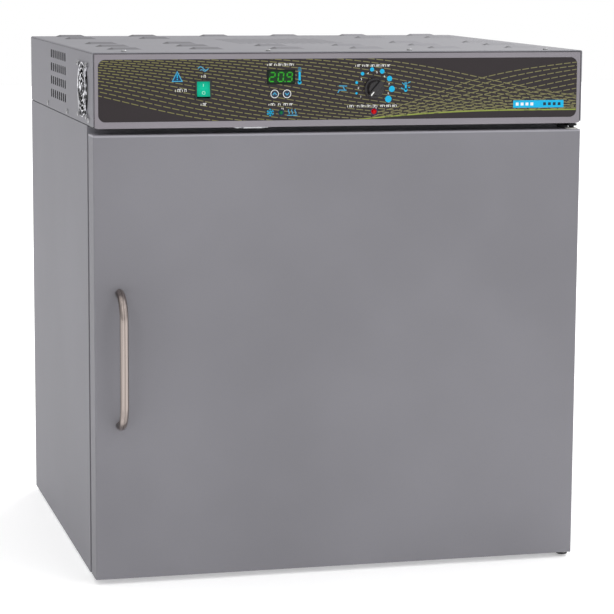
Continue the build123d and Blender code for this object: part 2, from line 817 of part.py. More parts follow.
def console_cover():
    """Top and sides in one folded sheet, with louvres, a hole field, side slots and a fan hole."""
    y = (cover_front_y, depth)
    shell = block(pair(half), y, (cabinet_z1 + cover_lift, console_z1))
    tops = shell.edges().filter_by(Axis.Y).group_by(Axis.Z)[-1]
    shell = fillet(tops, 2.5)
    core = block(pair(inside), (y[0] - 1, y[1] + 1), (cabinet_z1 - 1, lid_z0))
    core = fillet(core.edges().filter_by(Axis.Y).group_by(Axis.Z)[-1], 1.0)
    shell -= core
    places = louvre_places()
    hood, hollow = louvre(0.0), louvre(1.2)
    shell += [Pos(x, y0, console_z1) * hood for x, y0 in places]
    cuts = [Pos(x, y0, console_z1) * hollow for x, y0 in places]

    holes = []
    pitch, row_pitch = 14.0, 12.0
    rows = int((vent_field_y[1] - vent_field_y[0]) / row_pitch) + 1
    for row in range(rows):
        shift = 0.5 * (row % 2)
        holes += [
            Pos(pitch * (column + shift), vent_field_y[0] + row_pitch * row) * Circle(3.0)
            for column in range(-6, 6)
        ]
    field = extrude(Plane.XY.offset(lid_z0 - 1) * Sketch(children=holes), amount=sheet + 3)
    vents = Sketch(children=side_vents())
    cuts += [field, panel_x(vents, inside - 2, half + 1), panel_x(vents, -half - 1, -inside + 2)]
    cuts += [disc(side_fan_bore, "x", -half - 1, -inside + 1, side_fan_at)]
    cuts += [
        disc(screw_hole, "x", -half - 1, -inside + 1, (side_fan_at[0] + a, side_fan_at[1] + b))
        for a, b in guard_screws(side_fan_size)
    ]
    cuts += [disc(screw_hole, "x", *pair(half + 1), (y1, side_screw_z)) for y1 in side_screw_y]
    cuts += [disc(screw_hole, "z", lid_z0 - 1, console_z1 + 1, (x, top_screw_y)) for x in top_screw_x]
    return shell - cuts


def console_bezel():
    """The front frame: a flat border set inside the cover's edges, and a deep lip below."""
    edge = half - cover_seam
    top = console_z1 - cover_seam
    face = block(pair(edge), (0, bezel_y), (bezel_z0, top))
    face = fillet(face.faces().sort_by(Axis.Y)[0].edges(), 1.2)
    lip = block(pair(half), (bezel_y, frame_y0 - 0.2), (bezel_z0, cabinet_z1))
    hollow = block(pair(half), (sheet, bezel_y + 1), (cabinet_z1, console_z1))
    window = panel_y(rounded(pair(window_half), (window_z0, window_z1), window_r), -1, sheet + 1)
    clip = make_face(Polyline((half + 1, -1), (half + 1, 2.2), (half - 11, -1), close=True))
    corner = panel_y(Pos(0, bezel_z0) * clip, -1, frame_y0)
    return face + lip - hollow - window - corner - mirror(corner, about=Plane.YZ) - catch_holes(screw_hole)


def control_holes(clearance):
    """The holes that the controls need, drawn as (x, z)."""
    holes = [Pos(*switch_at) * Rectangle(20.8 + clearance, 25.0 + clearance)]
    holes += [Pos(*display_at) * Rectangle(display_size[0] + clearance, display_size[1] + clearance)]
    holes += [Pos(*at) * Circle(button_r + 0.2) for at in button_at.values()]
    holes += [Pos(*at) * Circle(lamp_r + 0.1) for at in (cooling_lamp_at, overtemp_lamp_at)]
    holes += [Pos(*knob_at) * Circle(3.4)]
    return holes


def control_overlay():
    """The printed plastic panel that fills the bezel's window."""
    gap = 0.3
    outline = rounded(
        pair(window_half - gap), (window_z0 + gap, window_z1 - gap), window_r - gap
    )
    return panel_y(outline - control_holes(0.2), overlay_y, sheet)


def control_backplate():
    """The steel plate behind the panel, stepped back at its top to the flange that the cover
    screws to, so that the seam between cover and bezel is deep."""
    edge = inside - 2
    top = lid_z0 - 3.5
    plate = panel_y(
        rounded(pair(edge), (base_z1, top), 0.5) - control_holes(0.2), plate_y0, plate_y1
    )
    step = block(pair(edge), (plate_y1 - sheet, 6.5), (top - sheet, top))
    riser = block(pair(edge), (5.0, 6.5), (top - sheet, lid_z0))
    plate = plate + step + riser
    flange = block(pair(edge), (5.0, 38), (lid_z0 - sheet, lid_z0))
    holes = [disc(screw_hole, "z", lid_z0 - 3, lid_z0 + 1, (x, top_screw_y)) for x in top_screw_x]
    return plate + flange - holes


inlet_at = (250.0, 700.0)


def console_rear_panel():
    outline = rounded(pair(inside), (cabinet_z1, lid_z0), 1.5)
    inlet = Pos(*inlet_at) * Rectangle(28.0, 20.6)
    slots = [
        Pos(-260.0 + 14.0 * i, 700.0) * Rot(0, 0, 90) * SlotOverall(56.0, 5.0) for i in range(20)
    ]
    screws = [Pos(x, z) * Circle(screw_hole) for x in console_rear_screw_x for z in (656.0, 738.0)]
    screws += [Pos(inlet_at[0] + x, inlet_at[1]) * Circle(screw_hole) for x in pair(20.0)]
    return panel_y(outline - [inlet, *slots, *screws], rear_y0, depth)


def power_inlet():
    """A three-pin mains inlet with a screwed flange."""
    x, z = inlet_at
    flange = panel_y(rounded((x - 25, x + 25), (z - 12, z + 12), 4.0), depth, depth + 2.5)
    body = block((x - 13.8, x + 13.8), (depth - 26, depth), (z - 10, z + 10))
    socket = panel_y(rounded((x - 12, x + 12), (z - 8.3, z + 8.3), 3.0), depth - 14, depth + 3)
    pins = [
        block((x + dx - 1, x + dx + 1), (depth - 14.5, depth - 2), (z + dz - 2, z + dz + 2))
        for dx, dz in ((-7, -3), (0, 1.5), (7, -3))
    ]
    tabs = [
        block((x + dx - 3, x + dx + 3), (depth - 34, depth - 25.5), (z - 0.4, z + 0.4))
        for dx in (-7, 0, 7)
    ]
    holes = [disc(screw_hole, "y", depth - 1, depth + 4, (x + dx, z)) for dx in pair(20.0)]
    return flange + body - socket - holes + pins + tabs


def display_module():
    """A three-digit display block, on the small board that also holds the key switches."""
    x, z = display_at
    w, h = display_size
    block_y = (overlay_y + 0.4, 14.0)
    digits = block((x - w / 2, x + w / 2), block_y, (z - h / 2, z + h / 2))
    board = block((x - 34, x + 34), (14.0, 15.6), (z - 44, z + h / 2 + 3))
    keys = [
        block((bx - 4, bx + 4), (9.4, 14.0), (bz - 4, bz + 4)) for bx, bz in button_at.values()
    ]
    return [digits, board, *keys]


def push_button(name):
    """A round cap with the stem that presses its key switch."""
    at = button_at[name]
    cap = disc(button_r, "y", -0.8, 2.6, at)
    cap = fillet(cap.edges().sort_by(Axis.Y)[0], 0.5)
    return cap + disc(2.0, "y", 2.6, 8.2, at)


pivot_y = 6.0
rocker_lean = 8.0


def power_switch_housing():
    """The rocker switch's body: a flange on the panel, a well for the rocker and four terminals."""
    x, z = switch_at
    flange = panel_y(rounded((x - 11.3, x + 11.3), (z - 13.2, z + 13.2), 1.2), -1.6, overlay_y)
    body = block((x - 10.4, x + 10.4), (overlay_y, 28), (z - 12.5, z + 12.5))
    well = block((x - 9.4, x + 9.4), (-3, 14), (z - 11.8, z + 11.8))
    pivots = disc(1.58, "x", x - 10.0, x + 10.0, (pivot_y, z))
    tabs = [
        block((x + dx - 0.4, x + dx + 0.4), (28, 36), (z + dz - 3, z + dz + 3))
        for dx in pair(5.0)
        for dz in pair(6.0)
    ]
    return flange + body - well - pivots + tabs


def power_rocker():
    """The rocker with its pivots, leaning to on: its upper half is pressed in."""
    x, z = switch_at
    outline = Polyline(
        (-8.3, 10.5), (-7.0, 0), (-8.3, -10.5), (-2, -9.5), (3, -5), (3, 5), (-2, 9.5), close=True
    )
    rocker = extrude(Plane.YZ * make_face(outline), amount=9.1, both=True)
    rocker += Rot(0, 90, 0) * Cylinder(1.5, 19.8)
    return Pos(x, pivot_y, z) * Rot(-rocker_lean, 0, 0) * rocker


pointer_rest = 229.0       # the pointer's angle at its lowest setting, counter-clockwise from +X


def overtemp_knob():
    """A skirted pointer knob with its shaft, at its lowest setting."""
    skirt = Pos(0, 0, 2.0) * Cylinder(14.2, 4.0)
    skirt = fillet(skirt.edges().sort_by(Axis.Z)[-1], 1.2)
    crown = Pos(0, 0, 4.0) * Cone(11.5, 9.5, 7.0, align=(Align.CENTER, Align.CENTER, Align.MIN))
    crown = fillet(crown.edges().sort_by(Axis.Z)[-1], 1.5)
    grip = Pos(0, 0, 9.5) * Box(26.0, 6.5, 11.0)
    grip = fillet(grip.edges().filter_by(Axis.Z), 2.0)
    grip = fillet(grip.edges().sort_by(Axis.Z)[-1], 1.0)
    shaft = Pos(0, 0, -6.0) * Cylinder(3.0, 12.4)
    knob = skirt + crown + grip + shaft
    return Pos(knob_at[0], 0, knob_at[1]) * Rot(90, 0, 0) * Rot(0, 0, pointer_rest) * knob


def overtemp_thermostat():
    """The safety thermostat behind the knob, with a bushing for the knob's shaft."""
    x, z = knob_at
    body = block((x - 17, x + 17), (9, 32), (z - 15, z + 15))
    body += disc(6.0, "y", plate_y1, 9, knob_at)
    tabs = [
        block((x + dx - 3, x + dx + 3), (32, 40), (z - 0.4, z + 0.4)) for dx in (-9, 9)
    ]
    return body + tabs - disc(3.05, "y", 0, 14, knob_at)


def lamp(at):
    """A round indicator lens with a domed end and a body behind the panel."""
    lens = disc(lamp_r - 0.1, "y", -2.0, 12.0, at)
    return fillet(lens.edges().sort_by(Axis.Y)[0], 2.4)


def control_board():
    """The main circuit board on four posts, with its larger components."""
    x, y, z = (-170.0, 40.0), (70.0, 190.0), base_z1 + 8
    board = block(x, y, (z, z + 1.6))
    posts = [
        disc(3.0, "z", base_z1, z, (px, py))
        for px in (x[0] + 8, x[1] - 8)
        for py in (y[0] + 8, y[1] - 8)
    ]
    top = z + 1.6
    transformer = block((-150, -105), (85, 125), (top, top + 34))
    relays = [block((-80 + 24 * i, -62 + 24 * i), (90, 108), (top, top + 16)) for i in range(4)]
    capacitors = [disc(7.0, "z", top, top + 24, (-70 + 26 * i, 140)) for i in range(3)]
    connectors = [block((-150 + 46 * i, -116 + 46 * i), (170, 182), (top, top + 12)) for i in range(4)]
    return [board, *posts, transformer, *relays, *capacitors, *connectors]


def power_supply():
    """A boxed power supply with a row of terminals at its left end."""
    case = block((90, 260), (400, 498), (base_z1, base_z1 + 42))
    case = fillet(case.edges().filter_by(Axis.Y), 1.5)
    case -= block((80, 108), (404, 494), (base_z1 + 14, base_z1 + 50))
    slots = [
        block((130 + 10 * i, 134 + 10 * i), (415, 483), (base_z1 + 41, base_z1 + 43))
        for i in range(12)
    ]
    strip = block((92, 106), (410, 488), (base_z1 + 14, base_z1 + 26))
    return [case - slots, strip]


lead_r = 3.0


def lead(points, bend=18.0):
    """A wire bundle along straight runs joined by arcs."""
    path = FilletPolyline(*points, radius=bend)
    start = path @ 0
    return sweep(Plane(origin=start, z_dir=path % 0) * Circle(lead_r), path=path)


def wiring_harness():
    """The bundles from the inlet to the switch, to the supply, and down to the fans."""
    x, z = inlet_at
    floor = base_z1 + lead_r + 0.5
    to_switch = [
        (x, depth - 34.5, z),
        (x, 560, z),
        (x, 545, floor),
        (-300, 540, floor),
        (-300, 60, floor),
        (switch_at[0], 60, floor + 6),
        (switch_at[0], 60, switch_at[1]),
        (switch_at[0], 36.5, switch_at[1]),
    ]
    to_supply = [
        (60, 449, base_z1 + 20),
        (30, 449, floor + 2),
        (30, 300, floor),
        (12, 232, floor + 8),
        (10, 183.2, base_z1 + 17),
    ]
    down = [
        (-133, 183.2, base_z1 + 17),
        (-150, 232, floor + 8),
        (-230, 300, floor),
        (-250, 420, floor),
        (wiring_hole[0], wiring_hole[1] - 5, floor + 6),
        (wiring_hole[0], wiring_hole[1], cabinet_z1 - 40),
    ]
    return [to_switch, to_supply, down]


# ---------------------------------------------------------------- screws that hold the cabinet
def case_screws():
    """Every visible screw of the cabinet and console, as separate solids."""
    small = screw()
    large = screw(radius=big_screw_r, head_r=4.6, head_height=2.2, length=9.0)
    places = [(Pos(x, top_screw_y, console_z1), "up", small) for x in top_screw_x]
    for y in side_screw_y:
        places.append((Pos(half, y, side_screw_z), "right", small))
        places.append((Pos(-half, y, side_screw_z), "left", small))
    for z in rear_screw_z:
        places += [(Pos(s * rear_screw_x, depth, z), "back", small) for s in (-1, 1)]
    for x in console_rear_screw_x:
        places += [(Pos(x, depth, z), "back", small) for z in (656.0, 738.0)]
    places += [(Pos(inlet_at[0] + x, depth + 2.5, inlet_at[1]), "back", small) for x in pair(20.0)]
    places += [(Pos(x, duct_y0, z), "front", small) for x, z in stud_at]
    places += [(Pos(x, catch_y, bezel_z0 - sheet), "down", small) for x in catch_screw_x]
    places += [(Pos(x, y, 3.0), "down", large) for x, y in foot_at]
    places += [(Pos(hinge_x - 8, y, cabinet_z0 - 3), "down", large) for y in (75.0, 105.0)]
    places += [(Pos(hinge_x, frame_y0 - 2.5, z), "front", large) for z in (608.0, 628.0)]
    eye = screw(head_height=2.0, length=16.0)
    for a, b in guard_screws(side_fan_size):
        at = Pos(-half - 2.3, side_fan_at[0] + a, side_fan_at[1] + b)
        places.append((at, "left", eye))
    for a, b in guard_screws(big_fan_size):
        places.append((Pos(a, depth + 2.3, chamber_mid + b), "back", eye))
    return [place * facing[way] * one for place, way, one in places]


# ---------------------------------------------------------------- everything, written out
os.makedirs("parts", exist_ok=True)

right_side = side_panel()
save("right_side_panel", right_side)
save("left_side_panel", mirror(right_side, about=Plane.YZ))
save("base_panel", base_panel())
save("top_deck", top_deck())
save("front_frame", front_frame())
save("chamber_liner", chamber_liner())
save("wall_insulation", wall_insulation())
save("inner_back_panel", inner_back_panel())
save("rear_cover", rear_cover())
save("rubber_feet", rubber_feet())

save("shelf_standards", shelf_standards())
save("shelf_clips", shelf_clips())
for shelf in shelf_z:
    save(shelf, wire_shelf(shelf))
save("duct_panel", duct_panel())
save("temperature_probes", temperature_probes())
save("cold_sink", cold_sink())
save("peltier_module", peltier_module())
save("hot_sink", hot_sink())
save("access_port_sleeve", access_port_sleeve())
save("port_stopper", port_stopper())

frame, rotor = fan(side_fan_size, side_fan_depth, side_fan_bore)
place = Pos(-inside, *side_fan_at) * on_left_wall
save("side_fan_frame", place * frame)
save("side_fan_rotor", place * rotor)
guard = wire_guard(side_fan_size, (9.0, 16.0, 23.0, 30.0, 37.5))
save("side_fan_guard", Pos(-half, *side_fan_at) * guard_on_left * guard)
frame, rotor = fan(big_fan_size, rear_fan_depth, big_fan_bore)
place = Pos(0, rear_y0, chamber_mid) * on_back_wall
save("heat_sink_fan_frame", place * frame)
save("heat_sink_fan_rotor", place * rotor)
guard = wire_guard(big_fan_size, (12.0, 23.0, 34.0, 45.0, 56.5))
save("rear_fan_guard", Pos(0, depth, chamber_mid) * guard_on_back * guard)
frame, rotor = fan(big_fan_size, chamber_fan_depth, big_fan_bore)
place = Pos(0, duct_y1 + 26.8, chamber_mid) * on_back_wall
save("circulation_fan_frame", place * frame)
save("circulation_fan_rotor", place * rotor)

save("top_hinge_bracket", top_hinge_bracket())
save("bottom_hinge_bracket", bottom_hinge_bracket())
save("hinge_pins", hinge_pins())
save("hinge_bushes", hinge_bushes())
save("catch_plate", catch_plate())

save("door_skin", door_skin())
save("door_insulation", door_insulation())
save("door_liner", door_liner())
save("door_gasket", door_gasket())
save("door_handle", door_handle())
save("door_screws", door_screws())

save("console_base", console_base())
save("console_cover", console_cover())
save("console_bezel", console_bezel())
save("console_rear_panel", console_rear_panel())
save("control_backplate", control_backplate())
save("control_overlay", control_overlay())
save("display_module", display_module())
for name in button_at:
    save(name, push_button(name))
save("power_switch_housing", power_switch_housing())
save("power_rocker", power_rocker())
save("overtemp_knob", overtemp_knob())
save("overtemp_thermostat", overtemp_thermostat())
save("overtemp_lamp", lamp(overtemp_lamp_at))
save("cooling_lamp", lamp(cooling_lamp_at))
save("control_board", control_board())
save("power_supply", power_supply())
save("power_inlet", power_inlet())
save("wiring_harness", [lead(points) for points in wiring_harness()])
save("case_screws", case_screws())
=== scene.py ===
import math

import bmesh
import bpy
from mathutils import Matrix, Vector


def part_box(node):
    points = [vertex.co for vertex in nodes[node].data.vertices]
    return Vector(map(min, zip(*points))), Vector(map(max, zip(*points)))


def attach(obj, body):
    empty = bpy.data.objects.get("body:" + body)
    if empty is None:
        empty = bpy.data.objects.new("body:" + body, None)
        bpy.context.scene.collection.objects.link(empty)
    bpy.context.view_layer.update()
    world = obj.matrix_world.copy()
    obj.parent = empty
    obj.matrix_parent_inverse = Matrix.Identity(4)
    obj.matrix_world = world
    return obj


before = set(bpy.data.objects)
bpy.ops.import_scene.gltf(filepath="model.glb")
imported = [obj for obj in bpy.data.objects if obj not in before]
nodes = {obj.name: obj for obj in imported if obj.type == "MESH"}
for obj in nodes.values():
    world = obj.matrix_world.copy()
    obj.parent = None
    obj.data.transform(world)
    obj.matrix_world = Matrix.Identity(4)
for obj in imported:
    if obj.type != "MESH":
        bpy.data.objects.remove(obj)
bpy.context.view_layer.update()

# A bench laboratory incubator: painted steel cabinet and door, stainless chamber, and a console with
# a printed control panel. Everything is in metres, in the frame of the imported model.

MM = 0.001

panel_low, panel_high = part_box("control_overlay")
panel_face = panel_low.y
panel_middle = (panel_low + panel_high) / 2
door_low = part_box("door_skin")[0]
cover_sheet = 0.0015
cover_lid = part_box("console_rear_panel")[1].z + cover_sheet
louvre_pitch = 0.118


# ---------------------------------------------------------------- shader and geometry expressions
class Wire:
    """A socket's output that Python's operators add Math nodes to."""

    def __init__(self, graph, socket):
        self.graph = graph
        self.socket = socket

    def math(self, operation, *others):
        return self.graph.node("ShaderNodeMath", {"operation": operation}, [self, *others])

    def __add__(self, other):
        return self.math("ADD", other)

    def __sub__(self, other):
        return self.math("SUBTRACT", other)

    def __mul__(self, other):
        return self.math("MULTIPLY", other)

    def __truediv__(self, other):
        return self.math("DIVIDE", other)

    def __rsub__(self, other):
        return self.graph.node("ShaderNodeMath", {"operation": "SUBTRACT"}, [other, self])

    def __rtruediv__(self, other):
        return self.graph.node("ShaderNodeMath", {"operation": "DIVIDE"}, [other, self])

    __radd__ = __add__
    __rmul__ = __mul__

    def __gt__(self, other):
        return self.math("GREATER_THAN", other)

    def __lt__(self, other):
        return self.math("LESS_THAN", other)

    def clamped(self, low=0.0, high=1.0):
        return self.math("MAXIMUM", low).math("MINIMUM", high)

    def ramp(self, low, high):
        """0 at low, 1 at high, and smooth between them. Low may be above high."""
        t = ((self - low) / (high - low)).clamped()
        return t * t * (3 - 2 * t)


class Graph:
    """A node tree that one method adds nodes to."""

    def __init__(self, tree):
        self.tree = tree

    def node(self, kind, settings=None, inputs=(), output=0):
        """Adds a node. Inputs are a list in order, or a dictionary by name or number."""
        made = self.tree.nodes.new(kind)
        for name, value in (settings or {}).items():
            setattr(made, name, value)
        pairs = inputs.items() if isinstance(inputs, dict) else enumerate(inputs)
        for key, value in pairs:
            if isinstance(value, Wire):
                self.tree.links.new(value.socket, made.inputs[key])
            elif value is not None:
                made.inputs[key].default_value = value
        return Wire(self, made.outputs[output])

    def place(self, scale=(1, 1, 1), shift=(0, 0, 0)):
        """Object coordinates, scaled and shifted."""
        where = self.node("ShaderNodeTexCoord", output="Object")
        return self.node("ShaderNodeMapping", {}, {"Vector": where, "Scale": scale, "Location": shift})

    def split(self, vector):
        """The x, y and z of a vector."""
        first = self.node("ShaderNodeSeparateXYZ", {}, [vector])
        outputs = first.socket.node.outputs
        return [Wire(self, outputs[i]) for i in range(3)]

    def noise(self, scale, detail=2.0, roughness=0.5, stretch=(1, 1, 1)):
        inputs = {"Vector": self.place(stretch), "Scale": scale, "Detail": detail, "Roughness": roughness}
        return self.node("ShaderNodeTexNoise", {}, inputs)

    def cells(self, scale, stretch=(1, 1, 1), output="Distance"):
        inputs = {"Vector": self.place(stretch), "Scale": scale}
        return self.node("ShaderNodeTexVoronoi", {}, inputs, output)

    def blend(self, factor, first, second):
        """A colour between two colours."""
        inputs = {0: factor, 6: rgba(first), 7: rgba(second)}
        return self.node("ShaderNodeMix", {"data_type": "RGBA"}, inputs, 2)

    def bump(self, height, depth, strength=1.0):
        return self.node("ShaderNodeBump", {}, {"Height": height, "Distance": depth, "Strength": strength})

    def edges(self, radius):
        """1 along sharp outer edges and 0 on flat faces, from the surface's own shape."""
        bevel = self.node("ShaderNodeBevel", {"samples": 4}, {"Radius": radius})
        normal = self.node("ShaderNodeNewGeometry", output="Normal")
        likeness = self.node("ShaderNodeVectorMath", {"operation": "DOT_PRODUCT"}, [bevel, normal], 1)
        return (1 - likeness).ramp(0.0, 0.25)


def rgba(colour):
    """A wire as it is, or (r, g, b) as a colour with alpha."""
    return colour if isinstance(colour, Wire) else (*colour, 1.0)


def linear(red, green, blue):
    """A colour given as 0 to 255 display values."""
    values = [c / 255 for c in (red, green, blue)]
    return tuple(c / 12.92 if c <= 0.04045 else ((c + 0.055) / 1.055) ** 2.4 for c in values)


def finish(name, build, **fixed):
    """A material. Build returns the sockets that vary over the surface; fixed sets the others."""
    material = bpy.data.materials.new(name)
    material.use_nodes = True
    graph = Graph(material.node_tree)
    shader = material.node_tree.nodes["Principled BSDF"]
    for key, value in fixed.items():
        shader.inputs[key.replace("_", " ")].default_value = value
    for key, value in build(graph).items():
        socket = shader.inputs[key.replace("_", " ")]
        if isinstance(value, Wire):
            material.node_tree.links.new(value.socket, socket)
        else:
            socket.default_value = value if not isinstance(value, tuple) else (*value, 1.0)
    return material


# ---------------------------------------------------------------- finishes
def powder_coat(name, colour, gloss=0.52, outer=None, painted_shade=None, painted_highlight=None):
    """Baked powder paint: a fine pebbled skin, faint clouding and paler worn edges.

    Outer tells the outer faces of a folded sheet from its inner faces and cut edges, which get
    near-black painted shade. The shade mask tells where shade is painted on, and the highlight
    mask where a highlight is painted on.
    """

    def build(g):
        cloud = g.noise(3.2, 3.0)
        speck = g.noise(900.0, 1.0)
        pebble = g.noise(420.0, 2.0, 0.6)
        pale = tuple(min(1.0, c * 1.07) for c in colour)
        deep = tuple(c * 0.95 for c in colour)
        base = g.blend(cloud.ramp(0.3, 0.7), deep, pale)
        base = g.blend(speck.ramp(0.62, 0.75) * 0.18, base, tuple(c * 0.72 for c in colour))
        worn = g.edges(0.0005) * g.noise(60.0, 3.0).ramp(0.45, 0.75)
        base = g.blend(worn * 0.2, base, tuple(min(1.0, c * 1.4) for c in colour))
        # painted highlight: paler where the highlight mask is 1
        if painted_highlight:
            base = g.blend(painted_highlight(g), base, tuple(c * 1.75 for c in colour))
        # painted shade: darker where the shade mask is 1
        if painted_shade:
            base = g.blend(painted_shade(g), base, tuple(c * 0.42 for c in colour))
        # painted shade: near-black on the sheet's inner faces and cut edges, where the outer mask is 0
        if outer:
            base = g.blend(outer(g), (0.009, 0.009, 0.01), base)
        rough = gloss + 0.1 * cloud + 0.08 * (pebble - 0.5)
        return {"Base_Color": base, "Roughness": rough, "Normal": g.bump(pebble, 0.00012, 0.55)}

    return finish(name, build, Specular_IOR_Level=0.22)


def cover_outside(g):
    """1 on the console cover's outer faces, its rounded corners, its front edge and the first 6 mm of its
    faces behind that edge.
    """
    low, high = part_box("console_cover")
    x, y, z = g.split(g.place())
    side = x.math("ABSOLUTE") - high.x
    top = z - cover_lid
    # Where all of these are 0, on the cover's inner faces and the walls of its slots, the paint gets
    # near-black painted shade.
    masks = [side > -0.00006, top > -0.0002, side + top > -0.0018, y < low.y + 0.006]
    found = masks[0]
    for mask in masks[1:]:
        found = found.math("MAXIMUM", mask)
    return found


def louvre_painted_shade(g):
    """How much shade is painted on the louvres: most at their left ends, and more towards the cover's left.
    """
    x, _, z = g.split(g.place())
    hood = (z - cover_lid).ramp(0.0001, 0.0008)
    along = (x / louvre_pitch).math("FRACT")
    end = along.ramp(0.37, 0.35)
    return hood * (end * 0.75 + x.ramp(0.1, -0.2) * 0.5).clamped(0.0, 1.0)


def door_top_painted_highlight(g):
    """A highlight painted along the door's top edge, broken up a little by noise."""
    _, _, z = g.split(g.place())
    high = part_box("door_skin")[1].z
    return (z - high).ramp(-0.0034, -0.0022) * (0.7 + 0.3 * g.noise(40.0, 2.0))


def handle_painted_reflections(g):
    """How much dark reflection is painted on the drawn handle bar: most at its two long edges and in a line
    along its middle.
    """
    low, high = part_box("door_handle")
    x, _, _ = g.split(g.place(shift=(-(low.x + high.x) / 2, 0, 0)))
    across = x.math("ABSOLUTE") / ((high.x - low.x) / 2)
    return across.ramp(0.62, 0.94) + across.ramp(0.2, 0.06) * 0.55


def brushed_steel(name, grain, tint=(0.62, 0.615, 0.6), roughness=0.3, low=0.88, shade=None):
    """Stainless steel brushed along the axis that has the smallest number in grain.

    Low is how much of the tint is left in the darkest streaks. Shade tells where dark reflections are
    painted on.
    """

    def build(g):
        streak = g.noise(1.0, 4.0, 0.65, grain)
        fine = g.noise(2.3, 3.0, 0.7, grain)
        cloud = g.noise(7.0, 2.0)
        base = g.blend(streak.ramp(0.3, 0.7), tuple(c * low for c in tint), tint)
        base = g.blend(cloud * 0.25, base, tuple(min(1.0, c * 1.12) for c in tint))
        if shade:
            # painted reflections: darker where the shade mask is 1
            base = g.blend(shade(g).clamped(0.0, 1.0), base, tuple(c * 0.38 for c in tint))
        rough = roughness + 0.14 * (fine - 0.5) + 0.08 * cloud
        return {"Base_Color": base, "Roughness": rough, "Normal": g.bump(fine, 0.00004, 0.5)}

    return finish(name, build, Metallic=1.0)


def zinc_sheet(name, dark=(0.42, 0.43, 0.45), light=(0.62, 0.63, 0.65)):
    """Galvanised steel with its crystal pattern."""

    def build(g):
        crystal = g.cells(95.0, output="Color")
        shade = g.node("ShaderNodeSeparateColor", {}, [crystal])
        base = g.blend(shade, dark, light)
        rough = 0.34 + 0.2 * shade
        return {"Base_Color": base, "Roughness": rough, "Normal": g.bump(shade, 0.00003, 0.4)}

    return finish(name, build, Metallic=1.0)


def bright_wire(name, tint=(0.78, 0.78, 0.79), roughness=0.12, low=0.86, patch=40.0):
    """Chromed or polished wire and screws, with faint drawing marks.

    Low is how much of the tint is left in the dullest patches, and patch is how fine they are.
    """

    def build(g):
        mark = g.noise(500.0, 2.0)
        cloud = g.noise(patch, 2.0)
        base = g.blend(cloud.ramp(0.42, 0.58), tint, tuple(c * low for c in tint))
        return {
            "Base_Color": base,
            "Roughness": roughness + 0.1 * cloud,
            "Normal": g.bump(mark, 0.00002, 0.4),
        }

    return finish(name, build, Metallic=1.0)


def moulded_plastic(name, colour, gloss=0.45, grain=700.0, depth=0.00004):
    """Moulded plastic: a fine spark-eroded grain and a little variation in its colour."""

    def build(g):
        spark = g.noise(grain, 2.0, 0.6)
        cloud = g.noise(30.0, 2.0)
        pale = tuple(min(1.0, c * 1.18 + 0.004) for c in colour)
        base = g.blend(cloud.ramp(0.3, 0.7), colour, pale)
        rough = gloss + 0.16 * (spark - 0.5)
        return {"Base_Color": base, "Roughness": rough, "Normal": g.bump(spark, depth, 0.7)}

    return finish(name, build)


def cast_aluminium(name):
    """Extruded aluminium fins with lines along them."""

    def build(g):
        line = g.noise(1.0, 3.0, 0.6, (900, 900, 12))
        cloud = g.noise(25.0, 2.0)
        base = g.blend(line, (0.62, 0.63, 0.64), (0.78, 0.79, 0.8))
        return {
            "Base_Color": base,
            "Roughness": 0.36 + 0.14 * cloud,
            "Normal": g.bump(line, 0.00003, 0.5),
        }

    return finish(name, build, Metallic=1.0)


def foam_board(name):
    """Closed-cell foam, cream and slightly pitted."""

    def build(g):
        cell = g.cells(620.0)
        cloud = g.noise(18.0, 3.0)
        base = g.blend(cloud.ramp(0.3, 0.7), (0.74, 0.6, 0.33), (0.85, 0.73, 0.46))
        return {
            "Base_Color": base,
            "Roughness": 0.88 + 0.08 * cloud,
            "Normal": g.bump(cell, 0.0004, 0.7),
        }

    return finish(name, build)


def soft_rubber(name, colour, gloss=0.62):
    """Rubber or silicone with a dusty bloom."""

    def build(g):
        dust = g.noise(85.0, 4.0, 0.6)
        skin = g.noise(1200.0, 1.0)
        bloom = tuple(min(1.0, c * 1.35 + 0.012) for c in colour)
        base = g.blend(dust.ramp(0.45, 0.75), colour, bloom)
        return {
            "Base_Color": base,
            "Roughness": gloss + 0.16 * dust,
            "Normal": g.bump(skin, 0.00004, 0.6),
        }

    return finish(name, build)


def circuit_laminate(name):
    """Green solder mask with tracks, and dark and pale parts above the board's face."""
    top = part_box("control_board")[0].z + 0.0096

    def build(g):
        x, y, z = g.split(g.place())
        lane = g.node("ShaderNodeMath", {"operation": "PINGPONG"}, [x * 260.0 + y * 90.0, 0.5])
        track = (lane > 0.36) * (g.noise(55.0, 1.0) > 0.5)
        mask = g.blend(track, (0.012, 0.115, 0.035), (0.05, 0.25, 0.08))
        part = g.cells(48.0, stretch=(1, 1, 0.01), output="Color")
        shade = g.node("ShaderNodeSeparateColor", {}, [part])
        parts = g.blend(shade > 0.55, (0.02, 0.02, 0.022), (0.05, 0.13, 0.3))
        base = g.blend(z > top + 0.0002, mask, parts)
        return {"Base_Color": base, "Roughness": 0.28 + 0.25 * shade, "Normal": g.bump(track, 0.00004)}

    return finish(name, build)


def wound_sleeve(name):
    """Black spiral wrap over a wire bundle, with the wires' colours showing in its gaps."""

    def build(g):
        x, y, z = g.split(g.place())
        turn = g.node("ShaderNodeMath", {"operation": "PINGPONG"}, [(x + y + z) * 140.0, 0.5])
        wrap = turn.ramp(0.1, 0.2)
        core = g.blend(g.noise(300.0, 0.0) > 0.5, (0.35, 0.03, 0.02), (0.02, 0.05, 0.25))
        base = g.blend(wrap, core, (0.014, 0.014, 0.015))
        return {"Base_Color": base, "Roughness": 0.38 + 0.1 * wrap, "Normal": g.bump(wrap, 0.0006)}

    return finish(name, build)


def cubic(terms, x, z):
    """A cubic in x and z, and how fast it changes with z. Terms are {(x power, z power): factor}."""
    xs = [1, x, x * x, x * x * x]
    zs = [1, z, z * z, z * z * z]
    value = sum(factor * xs[i] * zs[j] for (i, j), factor in terms.items())
    slope = sum(factor * j * xs[i] * zs[j - 1] for (i, j), factor in terms.items() if j)
    return value, slope


